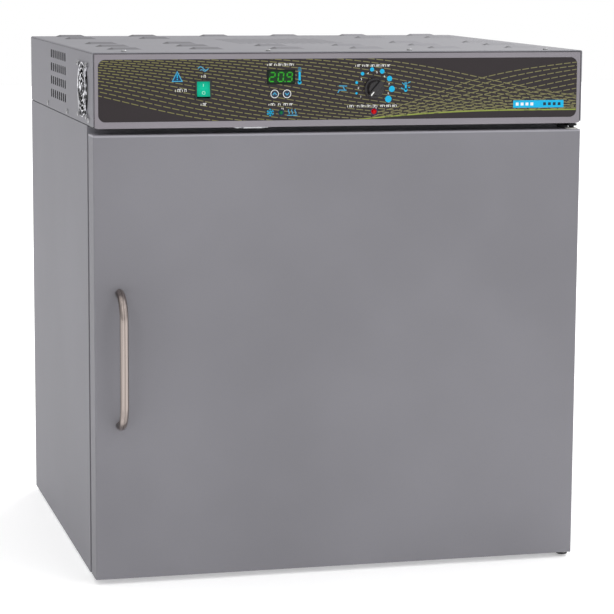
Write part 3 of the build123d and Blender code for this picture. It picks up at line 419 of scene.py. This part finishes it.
# Each family's lines are the level curves of a cubic, one line at each whole number. For falling lines
# x is in 350 mm and z in 42.5 mm from the panel's middle. For rising lines x is in 150 mm from x = 200 mm.
FALLING = {
    (0, 0): 12.591, (0, 1): 6.922, (0, 2): -0.334, (0, 3): 0.976, (1, 0): 10.241,
    (1, 1): 0.116, (1, 2): -2.736, (2, 0): -0.222, (2, 1): 1.166, (3, 0): 1.085,
}
RISING = {
    (0, 0): 1.479, (0, 1): -5.136, (0, 2): 1.705, (0, 3): -2.544, (1, 0): 5.013,
    (1, 1): -1.986, (1, 2): -0.467, (2, 0): -0.683, (2, 1): 1.015, (3, 0): 0.019,
}


def printed_panel(name):
    """The console's printed panel: dark ground with two families of broken wavy lines.

    The lines fall from the upper left, meet a bright line near the bottom and rise to the upper right.
    Lengths in here are millimetres from the panel's middle.
    """
    dark = (0.023, 0.0172, 0.0192)
    line_colour = (0.235, 0.222, 0.092)
    bright = (0.30, 0.36, 0.06)
    line_width = 1.15
    dash = 12.6

    def strokes(family, x, z, stagger, along_x):
        """1 on the family's lines, all as wide, and broken into staggered dashes."""
        index, slope = cubic(family, x, z)
        whole = index.math("ROUND")
        away = (index - whole).math("ABSOLUTE") * (42.5 / slope.math("ABSOLUTE"))
        stroke = away.ramp(line_width * 0.5 + 0.3, line_width * 0.5 - 0.3)
        along = (along_x / dash + whole * stagger).math("FRACT")
        return index, stroke * along.ramp(0.0, 0.04) * along.ramp(0.84, 0.80)

    def build(g):
        x, _, z = g.split(g.place(shift=(0, 0, -panel_middle.z)))
        x, z = x * 1000.0, z * 1000.0
        high = z / 42.5
        index, falling = strokes(FALLING, x / 350.0, high, 0.44, x)
        falling = falling * (index > -0.3) * (index < 21.3)
        rank, rising = strokes(RISING, (x - 200.0) / 150.0, high, 0.5, x)
        rising = rising * (rank > -0.3) * (x > 45.0)

        # the bright lower line, and nothing beneath it
        run = (1.0 - (x - 28.0) / 222.0).clamped(0.0, 2.0)
        floor = -32.0 - 10.5 * run * run
        above = (z - floor > 0.0).math("MAXIMUM", x < 0.0)
        lines = falling.math("MAXIMUM", rising) * above
        patchy = g.noise(0.11, 2.0, 0.5, (1000, 1000, 1000))
        band = (z - floor).math("ABSOLUTE").ramp(1.5, 0.4) * (x > 5.0) * patchy.ramp(0.2, 0.5)

        ink = g.noise(0.9, 2.0, 0.5, (1000, 1000, 1000))
        weave = g.noise(1.0, 2.0, 0.5, (1500, 1500, 1500))
        cloud = g.noise(9.0, 2.0)
        ground = g.blend(cloud, tuple(c * 0.9 for c in dark), tuple(c * 1.12 for c in dark))
        warm = (x / 350.0).ramp(-1.0, 0.4)
        shade = g.blend(warm, (0.225, 0.215, 0.07), line_colour)
        base = g.blend(lines * (0.7 + 0.22 * ink), ground, shade)
        base = g.blend(band * 0.8, base, bright)
        rough = 0.4 + 0.08 * weave
        return {"Base_Color": base, "Roughness": rough, "Normal": g.bump(weave, 0.00002, 0.4)}

    return finish(name, build, Specular_IOR_Level=0.28)


def printed_ink(name, colour):
    """Screen-printed ink: almost even, with a slightly mottled film."""

    def build(g):
        film = g.noise(1600.0, 2.0)
        base = g.blend(film.ramp(0.3, 0.7), tuple(c * 0.93 for c in colour), colour)
        return {"Base_Color": base, "Roughness": 0.4 + 0.12 * film, "Normal": g.bump(film, 0.00001, 0.3)}

    return finish(name, build, Specular_IOR_Level=0.25)


def lit_lens(name, colour, glow, middle, reach):
    """A coloured lens lit from behind, brightest at its middle."""

    def build(g):
        where = g.place(shift=tuple(-c for c in middle))
        away = g.node("ShaderNodeVectorMath", {"operation": "LENGTH"}, [where], 1)
        heart = (away / reach).ramp(1.0, 0.1)
        mould = g.noise(900.0, 1.0)
        base = g.blend(heart, tuple(c * 0.7 for c in colour), colour)
        light = g.blend(heart * 0.8 + 0.2, tuple(c * 0.25 for c in colour), colour)
        return {
            "Base_Color": base,
            "Roughness": 0.2 + 0.08 * mould,
            "Emission_Color": light,
            "Normal": g.bump(mould, 0.00002, 0.4),
        }

    return finish(name, build, Emission_Strength=glow, Specular_IOR_Level=0.16)


def smoked_window(name):
    """The dark window over the display's digits, with their green light spreading in it."""
    low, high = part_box("display_module")
    middle = ((low.x + high.x) / 2, low.y, high.z - 0.0133)

    def build(g):
        smear = g.noise(70.0, 3.0)
        x, _, z = g.split(g.place(shift=tuple(-c for c in middle)))
        spread = x.math("ABSOLUTE").ramp(0.0195, 0.013) * z.math("ABSOLUTE").ramp(0.0102, 0.006)
        base = g.blend(smear, (0.004, 0.006, 0.005), (0.008, 0.012, 0.009))
        light = g.blend(spread, (0.0, 0.0, 0.0), (0.004, 0.034, 0.007))
        return {"Base_Color": base, "Roughness": 0.25 + 0.12 * smear, "Emission_Color": light}

    return finish(name, build, Specular_IOR_Level=0.15, Emission_Strength=1.0)


cabinet_paint = powder_coat("cabinet_paint", (0.215, 0.211, 0.233))
# The cover's paint, with near-black painted shade on its inner faces and slot walls, and painted shade on
# its louvres.
cover_paint_with_painted_shade = powder_coat("cover_paint_with_painted_shade", (0.215, 0.211, 0.233), outer=cover_outside, painted_shade=louvre_painted_shade)
# The door's paint, with a painted highlight along its top edge.
door_paint_with_painted_highlight = powder_coat("door_paint_with_painted_highlight", (0.212, 0.208, 0.228), painted_highlight=door_top_painted_highlight)
bezel_paint = powder_coat("bezel_paint", (0.247, 0.230, 0.254))
liner_steel = brushed_steel("liner_steel", (6, 6, 700))
duct_steel = brushed_steel("duct_steel", (6, 700, 700))
# The handle's steel, with dark reflections painted along its edges and its middle.
handle_steel_with_painted_reflections = brushed_steel(
    "handle_steel_with_painted_reflections", (420, 420, 5), (0.46, 0.395, 0.365), 0.26, 0.7, handle_painted_reflections
)
zinc = zinc_sheet("zinc_sheet")
# Painted shade: galvanised parts coloured near-black, so the gap under the console, the seam behind the
# bezel and the hinges read dark.
zinc_in_painted_shade = zinc_sheet("zinc_in_painted_shade", (0.012, 0.012, 0.013), (0.03, 0.03, 0.032))
# The fan guard's wire, with bright and near-black patches as painted reflections.
guard_wire_with_painted_reflections = bright_wire("guard_wire_with_painted_reflections", (0.8, 0.8, 0.84), 0.1, 0.05, 110.0)
chrome = bright_wire("chrome_wire", (0.66, 0.66, 0.67))
screw_steel = bright_wire("screw_steel", (0.4, 0.4, 0.41), 0.3)
fin_aluminium = cast_aluminium("fin_aluminium")
black_plastic = moulded_plastic("black_plastic", (0.011, 0.011, 0.012))
knob_plastic = moulded_plastic("knob_plastic", (0.014, 0.012, 0.0135), 0.3, 500.0, 0.00004)
cap_plastic = moulded_plastic("cap_plastic", (0.008, 0.016, 0.04), 0.35)
nylon = moulded_plastic("nylon", (0.72, 0.71, 0.66), 0.5)
module_ceramic = moulded_plastic("module_ceramic", (0.8, 0.8, 0.77), 0.6)
foam = foam_board("foam")
black_rubber = soft_rubber("black_rubber", (0.02, 0.02, 0.021))
gasket_rubber = soft_rubber("gasket_rubber", (0.035, 0.035, 0.037))
stopper_silicone = soft_rubber("stopper_silicone", (0.6, 0.6, 0.57), 0.5)
circuit = circuit_laminate("circuit_laminate")
sleeve = wound_sleeve("wound_sleeve")
panel_print = printed_panel("panel_print")
white_ink = printed_ink("white_ink", (0.86, 0.86, 0.84))
blue_ink = printed_ink("blue_ink", (0.003, 0.44, 0.74))
pale_blue_ink = printed_ink("pale_blue_ink", linear(66, 160, 200))
rocker_ink = printed_ink("rocker_ink", (0.42, 0.8, 0.68))
dark_blue_ink = printed_ink("dark_blue_ink", (0.006, 0.03, 0.09))
dark_ink = printed_ink("dark_ink", (0.012, 0.03, 0.045))
unlit_segment = printed_ink("unlit_segment", (0.008, 0.03, 0.01))
window = smoked_window("smoked_window")


def lens(name, node, colour, glow, reach):
    low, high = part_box(node)
    middle = ((low.x + high.x) / 2, low.y, (low.z + high.z) / 2)
    return lit_lens(name, colour, glow, middle, reach)


rocker_green = lens("rocker_green", "power_rocker", linear(3, 166, 132), 0.31, 0.016)
lamp_red = lens("lamp_red", "overtemp_lamp", linear(176, 0, 8), 0.32, 0.006)
lamp_green = lens("lamp_green", "cooling_lamp", linear(10, 96, 58), 0.1, 0.004)
segment_glow = lens("segment_glow", "display_module", linear(44, 150, 36), 0.3, 0.04)

COATS = {
    cabinet_paint: "left_side_panel right_side_panel front_frame rear_cover console_rear_panel",
    cover_paint_with_painted_shade: "console_cover",
    door_paint_with_painted_highlight: "door_skin",
    bezel_paint: "console_bezel",
    liner_steel: "chamber_liner shelf_standards shelf_clips door_liner",
    duct_steel: "duct_panel",
    handle_steel_with_painted_reflections: "door_handle",
    zinc: "base_panel inner_back_panel power_supply catch_plate",
    # painted shade: these galvanised parts get the near-black zinc
    zinc_in_painted_shade: "top_hinge_bracket bottom_hinge_bracket control_backplate top_deck console_base hinge_pins",
    guard_wire_with_painted_reflections: "side_fan_guard rear_fan_guard",
    chrome: "shelf_upper shelf_lower",
    screw_steel: "case_screws door_screws temperature_probes",
    fin_aluminium: "cold_sink hot_sink",
    black_plastic: "access_port_sleeve side_fan_frame side_fan_rotor heat_sink_fan_frame "
    "heat_sink_fan_rotor circulation_fan_frame circulation_fan_rotor power_switch_housing "
    "overtemp_thermostat power_inlet",
    knob_plastic: "overtemp_knob",
    cap_plastic: "button_up button_down",
    nylon: "hinge_bushes",
    module_ceramic: "peltier_module",
    foam: "wall_insulation door_insulation",
    black_rubber: "rubber_feet",
    gasket_rubber: "door_gasket",
    stopper_silicone: "port_stopper",
    circuit: "control_board",
    sleeve: "wiring_harness",
    panel_print: "control_overlay",
    window: "display_module",
    rocker_green: "power_rocker",
    lamp_red: "overtemp_lamp",
    lamp_green: "cooling_lamp",
}
for coat, names in COATS.items():
    for name in names.split():
        slots = nodes[name].data.materials
        slots.clear()
        slots.append(coat)


# ---------------------------------------------------------------- printed marks
class Print:
    """Flat marks on a face, gathered into one thin piece for each ink.

    Places are (x, z) in millimetres from the panel's middle. A face may lean: lean is how far it
    comes towards -Y for each millimetre below the height about.
    """

    thickness = 0.00012

    def __init__(self, name, face=panel_face, lean=0.0, about=0.0):
        self.name = name
        self.face = face
        self.lean = lean
        self.about = about
        self.mesh = bmesh.new()

    def shape(self, points):
        """A filled outline."""
        places = [
            (
                x * MM + panel_middle.x,
                self.face + self.lean * (z - self.about) * MM,
                z * MM + panel_middle.z,
            )
            for x, z in points
        ]
        made = self.mesh.faces.new([self.mesh.verts.new(p) for p in places])
        made.normal_update()
        if made.normal.y > 0:
            made.normal_flip()

    def disc(self, centre, radius, sides=28):
        self.shape(arc(centre, radius, 0, 360, sides)[:-1])

    def stroke(self, points, width, closed=False):
        """A line of even width along points, with mitred corners."""
        count = len(points)
        sides = []
        for i, point in enumerate(points):
            here = Vector(point)
            before = Vector(points[i - 1]) if i or closed else None
            after = Vector(points[(i + 1) % count]) if i < count - 1 or closed else None
            into = (here - before).normalized() if before else (after - here).normalized()
            out = (after - here).normalized() if after else into
            along = (into + out).normalized()
            across = Vector((-along.y, along.x))
            spread = width / 2 / max(0.4, across.dot(Vector((-out.y, out.x))))
            sides.append((here + across * spread, here - across * spread))
        last = count if closed else count - 1
        for i in range(last):
            (a, b), (c, d) = sides[i], sides[(i + 1) % count]
            self.shape([a, c, d, b])

    def finish(self, coat, slot, body="cabinet"):
        mesh = bpy.data.meshes.new(self.name)
        bmesh.ops.remove_doubles(self.mesh, verts=self.mesh.verts, dist=0.000002)
        raised = bmesh.ops.extrude_face_region(self.mesh, geom=list(self.mesh.faces))
        tops = [v for v in raised["geom"] if isinstance(v, bmesh.types.BMVert)]
        bmesh.ops.translate(self.mesh, verts=tops, vec=(0, -self.thickness, 0))
        bmesh.ops.recalc_face_normals(self.mesh, faces=self.mesh.faces)
        self.mesh.to_mesh(mesh)
        self.mesh.free()
        return settle(bpy.data.objects.new(self.name, mesh), coat, body)


def settle(piece, coat, body):
    """Puts a finished piece in the scene, with its material, and makes it ride on a body."""
    if piece.name not in bpy.context.scene.collection.objects:
        bpy.context.scene.collection.objects.link(piece)
    if coat:
        piece.data.materials.clear()
        piece.data.materials.append(coat)
    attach(piece, body)
    return piece


def arc(centre, radius, start, end, steps):
    """Points on an arc, angles in degrees counter-clockwise from +X."""
    angles = [math.radians(start + (end - start) * i / steps) for i in range(steps + 1)]
    return [(centre[0] + radius * math.cos(a), centre[1] + radius * math.sin(a)) for a in angles]


def at_node(name):
    """The middle of a node as (x, z) in millimetres from the panel's middle."""
    low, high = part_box(name)
    middle = (low + high) / 2 - panel_middle
    return middle.x / MM, middle.z / MM


def beside(place, dx, dz):
    return place[0] + dx, place[1] + dz


def around(place, radius, angle):
    turn = math.radians(angle)
    return place[0] + radius * math.cos(turn), place[1] + radius * math.sin(turn)


switch = at_node("power_switch_housing")
knob_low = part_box("overtemp_knob")[0]
knob = at_node("overtemp_knob")
up = at_node("button_up")
down = at_node("button_down")
red_lamp = at_node("overtemp_lamp")
green_lamp = at_node("cooling_lamp")
display = (-90.4, 17.55)

white = Print("panel_white_marks")
blue = Print("panel_blue_marks")
pale = Print("panel_pale_blue_marks")
shade = Print("panel_dark_blue_marks")

# power: a triangle and a wave
triangle = beside(switch, -36.6, 18.2)
corners = ((-6.7, -6.2), (6.7, -6.2), (0.0, 6.6))
shade.shape([beside(triangle, 0.86 * x, 0.86 * z - 0.3) for x, z in corners])
pale.stroke([beside(triangle, x, z) for x, z in corners], 1.5, True)
mark_face = Print("triangle_mark", panel_face - Print.thickness)
mark_face.stroke([beside(triangle, 0, 3.2), beside(triangle, 0, -1.6)], 1.5)
mark_face.disc(beside(triangle, 0, -3.6), 0.9)
mark_face.finish(blue_ink, "overlay_print")
steps = [i / 12 - 1 for i in range(25)]
pale.stroke([beside(switch, 7.4 * t, 29.4 - 2.4 * math.sin(math.pi * t)) for t in steps], 1.2)
pale.stroke([beside(switch, 4.6 * t, 26.6 - 1.2 * math.sin(math.pi * t)) for t in steps], 0.8)


def caption(place, words, letter=2.72, height=3.0):
    """A row of short strokes grouped as words are, standing for a line of small type."""
    total = (sum(words) + 0.8 * (len(words) - 1)) * letter
    x = place[0] - total / 2
    low = place[1] - height / 2
    for number, word in enumerate(words):
        for i in range(word):
            tall = low + height * (0.84 + 0.16 * ((i * 7 + number * 3) % 3) / 2)
            left, right = x + 0.12 * letter, x + 0.78 * letter
            outline = [(left, low), (left, tall), (right, tall), (right, low)]
            white.stroke(outline[: 2 + (i * 5 + number) % 3], 0.62)
            x += letter
        x += 0.8 * letter


caption(beside(switch, 0.6, 18.6), [2], 3.2, 3.8)
caption(beside(switch, 1.0, -20.2), [3], 3.0, 3.6)
caption(beside(switch, -31.4, -0.6), [5], 3.3, 3.8)
caption((-90.2, 34.6), [3, 11])
caption((-90.2, -20.6), [4, 2, 5], 2.8)
caption(beside(knob, -1.6, 31.6), [3, 4, 11], 2.62)
caption(beside(knob, -1.4, -25.2), [4, 11, 9], 2.9, 3.2)
white.stroke([beside(green_lamp, 1.2, 4.6), beside(green_lamp, 1.2, 6.6)], 0.8)
white.stroke([beside(green_lamp, 3.0, 4.0), beside(green_lamp, 3.0, 6.0)], 0.8)
white.stroke([beside(red_lamp, -0.6, 4.2), beside(red_lamp, -0.6, 6.0)], 0.8)
white.stroke([beside(red_lamp, 3.0, 3.6), beside(red_lamp, 3.0, 6.0)], 0.8)

# dark rims round the two lamps, a ring of painted glow round the red lamp, and a ring and a chevron on each
# button
# Painted glow: a printed ring in the red lamp's glowing lens material, so the lamp looks wider than its
# lens.
red_glow_ring = Print("red_lamp_painted_glow")
red_glow_ring.stroke(arc(red_lamp, 3.55, 0, 360, 32)[:-1], 0.9, True)
red_glow_ring.finish(lamp_red, "overlay_print")
for middle, inner in ((red_lamp, 4.1), (green_lamp, 3.1)):
    shade.stroke(arc(middle, inner + 0.6, 0, 360, 32)[:-1], 1.2, True)
for name, body, middle, rise in (
    ("button_up", "up_button", up, 1),
    ("button_down", "down_button", down, -1),
):
    chevron = Print(f"{name}_chevron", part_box(name)[0].y)
    chevron.stroke([beside(middle, x, rise * z) for x, z in ((-2.7, -1.3), (0, 1.6), (2.7, -1.3))], 1.3)
    chevron.finish(pale_blue_ink, "button_print", body)
    ring = Print(f"{name}_ring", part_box(name)[0].y)
    ring.stroke(arc(middle, 5.45, 0, 360, 40)[:-1], 0.85, True)
    ring.finish(white_ink, "button_print", body)

# cooling: a snowflake; heating: three waves of warm air over a bar
flake = (-105.6, -31.8)
for i in range(3):
    blue.stroke([around(flake, 5.0, 60 * i + 30), around(flake, -5.0, 60 * i + 30)], 1.35)
for i in range(6):
    root = around(flake, 2.9, 60 * i + 30)
    for turn in (-38, 38):
        blue.stroke([root, around(root, 2.1, 60 * i + 30 + turn)], 0.9)
for i in range(3):
    foot = (-79.0 + 4.8 * i, -34.2)
    pale.stroke([beside(foot, 0.9 * math.sin(0.7 * j), 0.72 * j) for j in range(10)], 1.05)
pale.stroke([(-81.2, -35.9), (-66.6, -35.9)], 1.1)


def thermometer(place, height, width):
    """A bulb with a stem, and a small hat of two strokes."""
    bulb = beside(place, 0, -height / 2 + 0.5 * width)
    blue.disc(bulb, 0.78 * width)
    blue.stroke([bulb, beside(place, 0, height * 0.24)], 0.86 * width)
    for half, rise, thick in ((0.75, 0.34, 1.1), (0.6, 0.47, 0.9)):
        ends = [beside(place, side * half * width, rise * height) for side in (-1, 1)]
        pale.stroke(ends, thick)


thermometer((-63.6, 19.4), 22.5, 3.4)
thermometer(beside(knob, 46.8, 1.6), 12.5, 3.2)
for dx, dz, ex, ez in (
    (39.6, 0.2, 43.6, -1.8),
    (49.8, 6.6, 53.6, 8.6),
    (41.6, 7.2, 44.6, 4.6),
    (50.4, 1.0, 53.0, 0.2),
):
    blue.stroke([beside(knob, dx, dz), beside(knob, ex, ez)], 1.0)
for dx, dz, ex, ez in (
    (-51.0, 3.8, -39.0, 3.2),
    (-51.6, -2.2, -40.0, -2.6),
    (-45.6, 3.4, -42.4, -2.2),
    (-52.6, -6.2, -50.6, -2.6),
):
    pale.stroke([beside(knob, dx, dz), beside(knob, ex, ez)], 1.25)

# a blank name plate, with bars where words would be
blue.shape([(252.0, -29.0), (328.4, -29.0), (328.4, -18.4), (252.0, -18.4)])
plate_face = panel_face - Print.thickness
pale_bars = Print("name_plate_pale_bars", plate_face)
dark_bars = Print("name_plate_dark_bars", plate_face)
for i in range(4):
    pale_bars.stroke([(258.0 + 7.4 * i, -25.8), (258.0 + 7.4 * i, -21.6)], 4.2)
    dark_bars.stroke([(299.5 + 7.4 * i, -25.8), (299.5 + 7.4 * i, -21.6)], 4.2)
pale_bars.finish(white_ink, "overlay_print")
dark_bars.finish(dark_ink, "overlay_print")

# numbers between the dial's dots
DIGITS = {
    1: [[(0.3, 0.8), (0.55, 1), (0.55, 0)]],
    2: [[(0, 0.8), (0.2, 1), (0.8, 1), (1, 0.7), (0, 0), (1, 0)]],
    3: [[(0, 1), (1, 1), (0.5, 0.6), (1, 0.3), (0.7, 0), (0, 0.05)]],
    4: [[(0.75, 0), (0.75, 1), (0, 0.3), (1, 0.3)]],
    5: [[(1, 1), (0.1, 1), (0.05, 0.55), (0.8, 0.6), (1, 0.3), (0.7, 0), (0, 0)]],
    6: [[(0.9, 1), (0.2, 0.75), (0, 0.3), (0.3, 0), (0.9, 0.1), (0.9, 0.5), (0.1, 0.5)]],
    7: [[(0, 1), (1, 1), (0.35, 0)]],
    8: [[(0.2, 0.5), (0.05, 0.9), (0.95, 0.9), (0.05, 0.1), (0.95, 0.1), (0.8, 0.5), (0.2, 0.5)]],
}
for number in range(1, 9):
    centre = around(knob, 22.6, 212.0 - 33.1 * (number - 1))
    for line in DIGITS[number]:
        white.stroke([beside(centre, 1.5 * x - 0.75, 2.4 * z - 1.2) for x, z in line], 0.5)

white.finish(white_ink, "overlay_print")
blue.finish(blue_ink, "overlay_print")
pale.finish(pale_blue_ink, "overlay_print")
shade.finish(dark_blue_ink, "overlay_print")

# the knob's pointer, on the front of its grip and down its tail
knob_front = Print("knob_pointer", knob_low.y)
knob_front.stroke([around(knob, 6.0, 229), around(knob, 12.6, 229)], 1.5)
knob_front.finish(white_ink, "button_print", "knob")

# the rocker's marks: a bar on its pressed half and a ring on the other
bar = Print("rocker_bar", panel_face - 0.00127, 0.0164, switch[1] + 6.3)
bar.stroke([beside(switch, 0, 4.6), beside(switch, 0, 8.2)], 0.75)
bar.finish(rocker_ink, "button_print", "rocker")
round_mark = Print("rocker_ring", panel_face - 0.00273, 0.2692, switch[1] - 4.1)
round_mark.stroke(arc(beside(switch, 0, -4.1), 2.0, 0, 360, 28)[:-1], 0.7, True)
round_mark.finish(rocker_ink, "button_print", "rocker")

# the display: three seven-segment digits and a point
SEGMENTS = {
    "a": ((-1, 1), (1, 1)), "b": ((1, 1), (1, 0)), "c": ((1, 0), (1, -1)), "d": ((-1, -1), (1, -1)),
    "e": ((-1, 0), (-1, -1)), "f": ((-1, 1), (-1, 0)), "g": ((-1, 0), (1, 0)),
}
digit_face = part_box("display_module")[0].y
lit = Print("display_lit_segments", digit_face)
unlit = Print("display_unlit_segments", digit_face)
for place, shown in ((-12.4, "abged"), (0.0, "abcdef"), (12.4, "abcdfg")):
    for name, ends in SEGMENTS.items():
        start, end = [
            Vector((display[0] + place + 3.6 * x + 0.62 * z, display[1] + 6.2 * z)) for x, z in ends
        ]
        along = (end - start).normalized()
        across = Vector((-along.y, along.x)) * 0.9
        start, end = start + along * 0.45, end - along * 0.45
        tips = [start, start + along * 0.9 + across, end - along * 0.9 + across]
        tips += [end, end - along * 0.9 - across, start + along * 0.9 - across]
        (lit if name in shown else unlit).shape(tips)
lit.disc(beside(display, 6.0, -6.3), 0.95, 14)
unlit.disc(beside(display, -6.4, -6.3), 0.9, 14)
unlit.disc(beside(display, 18.2, -6.3), 0.9, 14)
lit.finish(segment_glow, "display_glass")
unlit.finish(unlit_segment, "display_glass")


# ---------------------------------------------------------------- the dial's dots
def grown(name, inputs, build, coat, body):
    """A plain mesh made by a Geometry Nodes tree. Inputs are {name: (socket type, value)}."""
    tree = bpy.data.node_groups.new(f"{name}_tree", "GeometryNodeTree")
    tree.interface.new_socket(name="Geometry", in_out="OUTPUT", socket_type="NodeSocketGeometry")
    sockets = {}
    for label, (kind, value) in inputs.items():
        made = tree.interface.new_socket(name=label, in_out="INPUT", socket_type=f"NodeSocket{kind}")
        sockets[made.identifier] = value
    graph = Graph(tree)
    source = tree.nodes.new("NodeGroupInput")
    given = {label: Wire(graph, source.outputs[label]) for label in inputs}
    shape = build(graph, given)
    real = graph.node("GeometryNodeRealizeInstances", {}, [shape])
    coated = graph.node("GeometryNodeSetMaterial", {}, {"Geometry": real, "Material": coat})
    target = tree.nodes.new("NodeGroupOutput")
    tree.links.new(coated.socket, target.inputs["Geometry"])

    holder = bpy.data.objects.new(f"{name}_source", bpy.data.meshes.new(f"{name}_source"))
    bpy.context.scene.collection.objects.link(holder)
    modifier = holder.modifiers.new("grow", "NODES")
    modifier.node_group = tree
    for identifier, value in sockets.items():
        modifier[identifier] = value
    view = bpy.context.evaluated_depsgraph_get()
    mesh = bpy.data.meshes.new_from_object(holder.evaluated_get(view))
    mesh.name = name
    holder.modifiers.remove(modifier)
    bpy.data.objects.remove(holder)
    return settle(bpy.data.objects.new(name, mesh), None, body)


def dial_dots(graph, given):
    """Discs in an arc, each larger than the one before."""
    index = graph.node("GeometryNodeInputIndex")
    angle = (index * given["Step"] + given["First angle"]).math("RADIANS")
    x = given["Arc radius"] * angle.math("COSINE")
    z = given["Arc radius"] * angle.math("SINE")
    offset = graph.node("ShaderNodeCombineXYZ", {}, [x, 0.0, z])
    place = graph.node("ShaderNodeVectorMath", {"operation": "ADD"}, [offset, given["Centre"]])
    points = graph.node("GeometryNodePoints", {}, {"Count": given["Dots"], "Position": place})
    cylinder = graph.node(
        "GeometryNodeMeshCylinder",
        {"fill_type": "NGON"},
        {"Vertices": 40, "Radius": 1.0, "Depth": given["Thickness"]},
    )
    size = index * given["Growth"] + given["Smallest radius"]
    scale = graph.node("ShaderNodeCombineXYZ", {}, [size, size, 1.0])
    inputs = {
        "Points": points,
        "Instance": cylinder,
        "Rotation": (math.radians(90), 0.0, 0.0),
        "Scale": scale,
    }
    return graph.node("GeometryNodeInstanceOnPoints", {}, inputs)


dial_centre = (
    panel_middle.x + knob[0] * MM,
    panel_face - Print.thickness / 2,
    panel_middle.z + knob[1] * MM,
)
dial_inputs = {
    "Dots": ("Int", 8),
    "Centre": ("Vector", dial_centre),
    "Arc radius": ("Float", 26.4 * MM),
    "First angle": ("Float", 195.6),
    "Step": ("Float", -33.1),
    "Smallest radius": ("Float", 1.6 * MM),
    "Growth": ("Float", 0.445 * MM),
    "Thickness": ("Float", Print.thickness),
}
grown("dial_dots", dial_inputs, dial_dots, blue_ink, "cabinet")

# ---------------------------------------------------------------- camera, light and floor
# The camera stands to the left of the door's middle, above its centre, and looks slightly down.
door_front = Vector((0, door_low.y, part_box("left_side_panel")[0].z))
camera = bpy.data.cameras.new("camera")
camera.lens = 137.6
camera.sensor_width = 36.0
camera.clip_end = 60.0
viewer = bpy.data.objects.new("camera", camera)
bpy.context.scene.collection.objects.link(viewer)
turn = Matrix.Rotation(math.radians(-14.3235), 3, "Z") @ Matrix.Rotation(math.radians(-8.6041), 3, "X")
turn = turn @ Matrix.Rotation(math.radians(-0.3306), 3, "Y")
right, ahead, above = turn.col[0], turn.col[1], turn.col[2]
axes = Matrix((right, above, -ahead)).transposed().to_4x4()
place = door_front + Vector((-0.86557, -3.1896, 0.88054))
viewer.matrix_world = Matrix.Translation(place) @ axes
bpy.context.scene.camera = viewer

floor_mesh = bpy.data.meshes.new("floor")
floor_mesh.from_pydata([(-12, -12, 0), (12, -12, 0), (12, 12, 0), (-12, 12, 0)], [], [(0, 1, 2, 3)])
floor = bpy.data.objects.new("floor", floor_mesh)
bpy.context.scene.collection.objects.link(floor)


def pale_floor(g):
    cloud = g.noise(1.3, 2.0)
    return {"Base_Color": g.blend(cloud, (0.94, 0.94, 0.94), (0.97, 0.97, 0.97)), "Roughness": 0.9}


lit_floor = finish(
    "pale_floor", pale_floor, Specular_IOR_Level=0.1, Emission_Color=(1, 1, 1, 1), Emission_Strength=0.36
)
floor_mesh.materials.append(lit_floor)


def studio():
    """A white room for the eye. For light: brighter overhead, dim low down in front, with two tall
    soft boxes that draw the streaks on the steel."""
    world = bpy.data.worlds.new("studio")
    world.use_nodes = True
    tree = world.node_tree
    g = Graph(tree)
    x, y, z = g.split(g.node("ShaderNodeTexCoord", output="Generated"))
    front = y.ramp(0.1, -0.75)
    low = z.ramp(0.75, 0.1)
    sky = 0.76 + 0.26 * z.ramp(-0.05, 0.95) + 0.14 * x
    sky = sky * (1 - 0.34 * front * low) * (1 - 0.2 * x.ramp(-0.3, -0.9))
    boxes = x.ramp(-0.62, -0.56) * x.ramp(-0.4, -0.46) + x.ramp(0.33, 0.37) * x.ramp(0.53, 0.49)
    sky = sky + boxes * front * z.ramp(-0.3, -0.1) * z.ramp(0.9, 0.7) * 1.4
    seen = g.node("ShaderNodeLightPath", output="Is Camera Ray")
    strength = seen * (1.0 - sky) + sky
    shader = g.node("ShaderNodeBackground", {}, [(1.0, 1.0, 1.0, 1.0), strength])
    tree.links.new(shader.socket, tree.nodes["World Output"].inputs["Surface"])
    bpy.context.scene.world = world


studio()


def sun(name, strength, spread, direction):
    light = bpy.data.lights.new(name, "SUN")
    light.energy = strength
    light.angle = math.radians(spread)
    lamp = bpy.data.objects.new(name, light)
    lamp.rotation_euler = Vector(direction).to_track_quat("-Z", "Y").to_euler()
    bpy.context.scene.collection.objects.link(lamp)


sun("rear_softbox", 1.0, 25, (-0.5, -0.75, -0.5))

bpy.context.scene.view_settings.view_transform = "Standard"
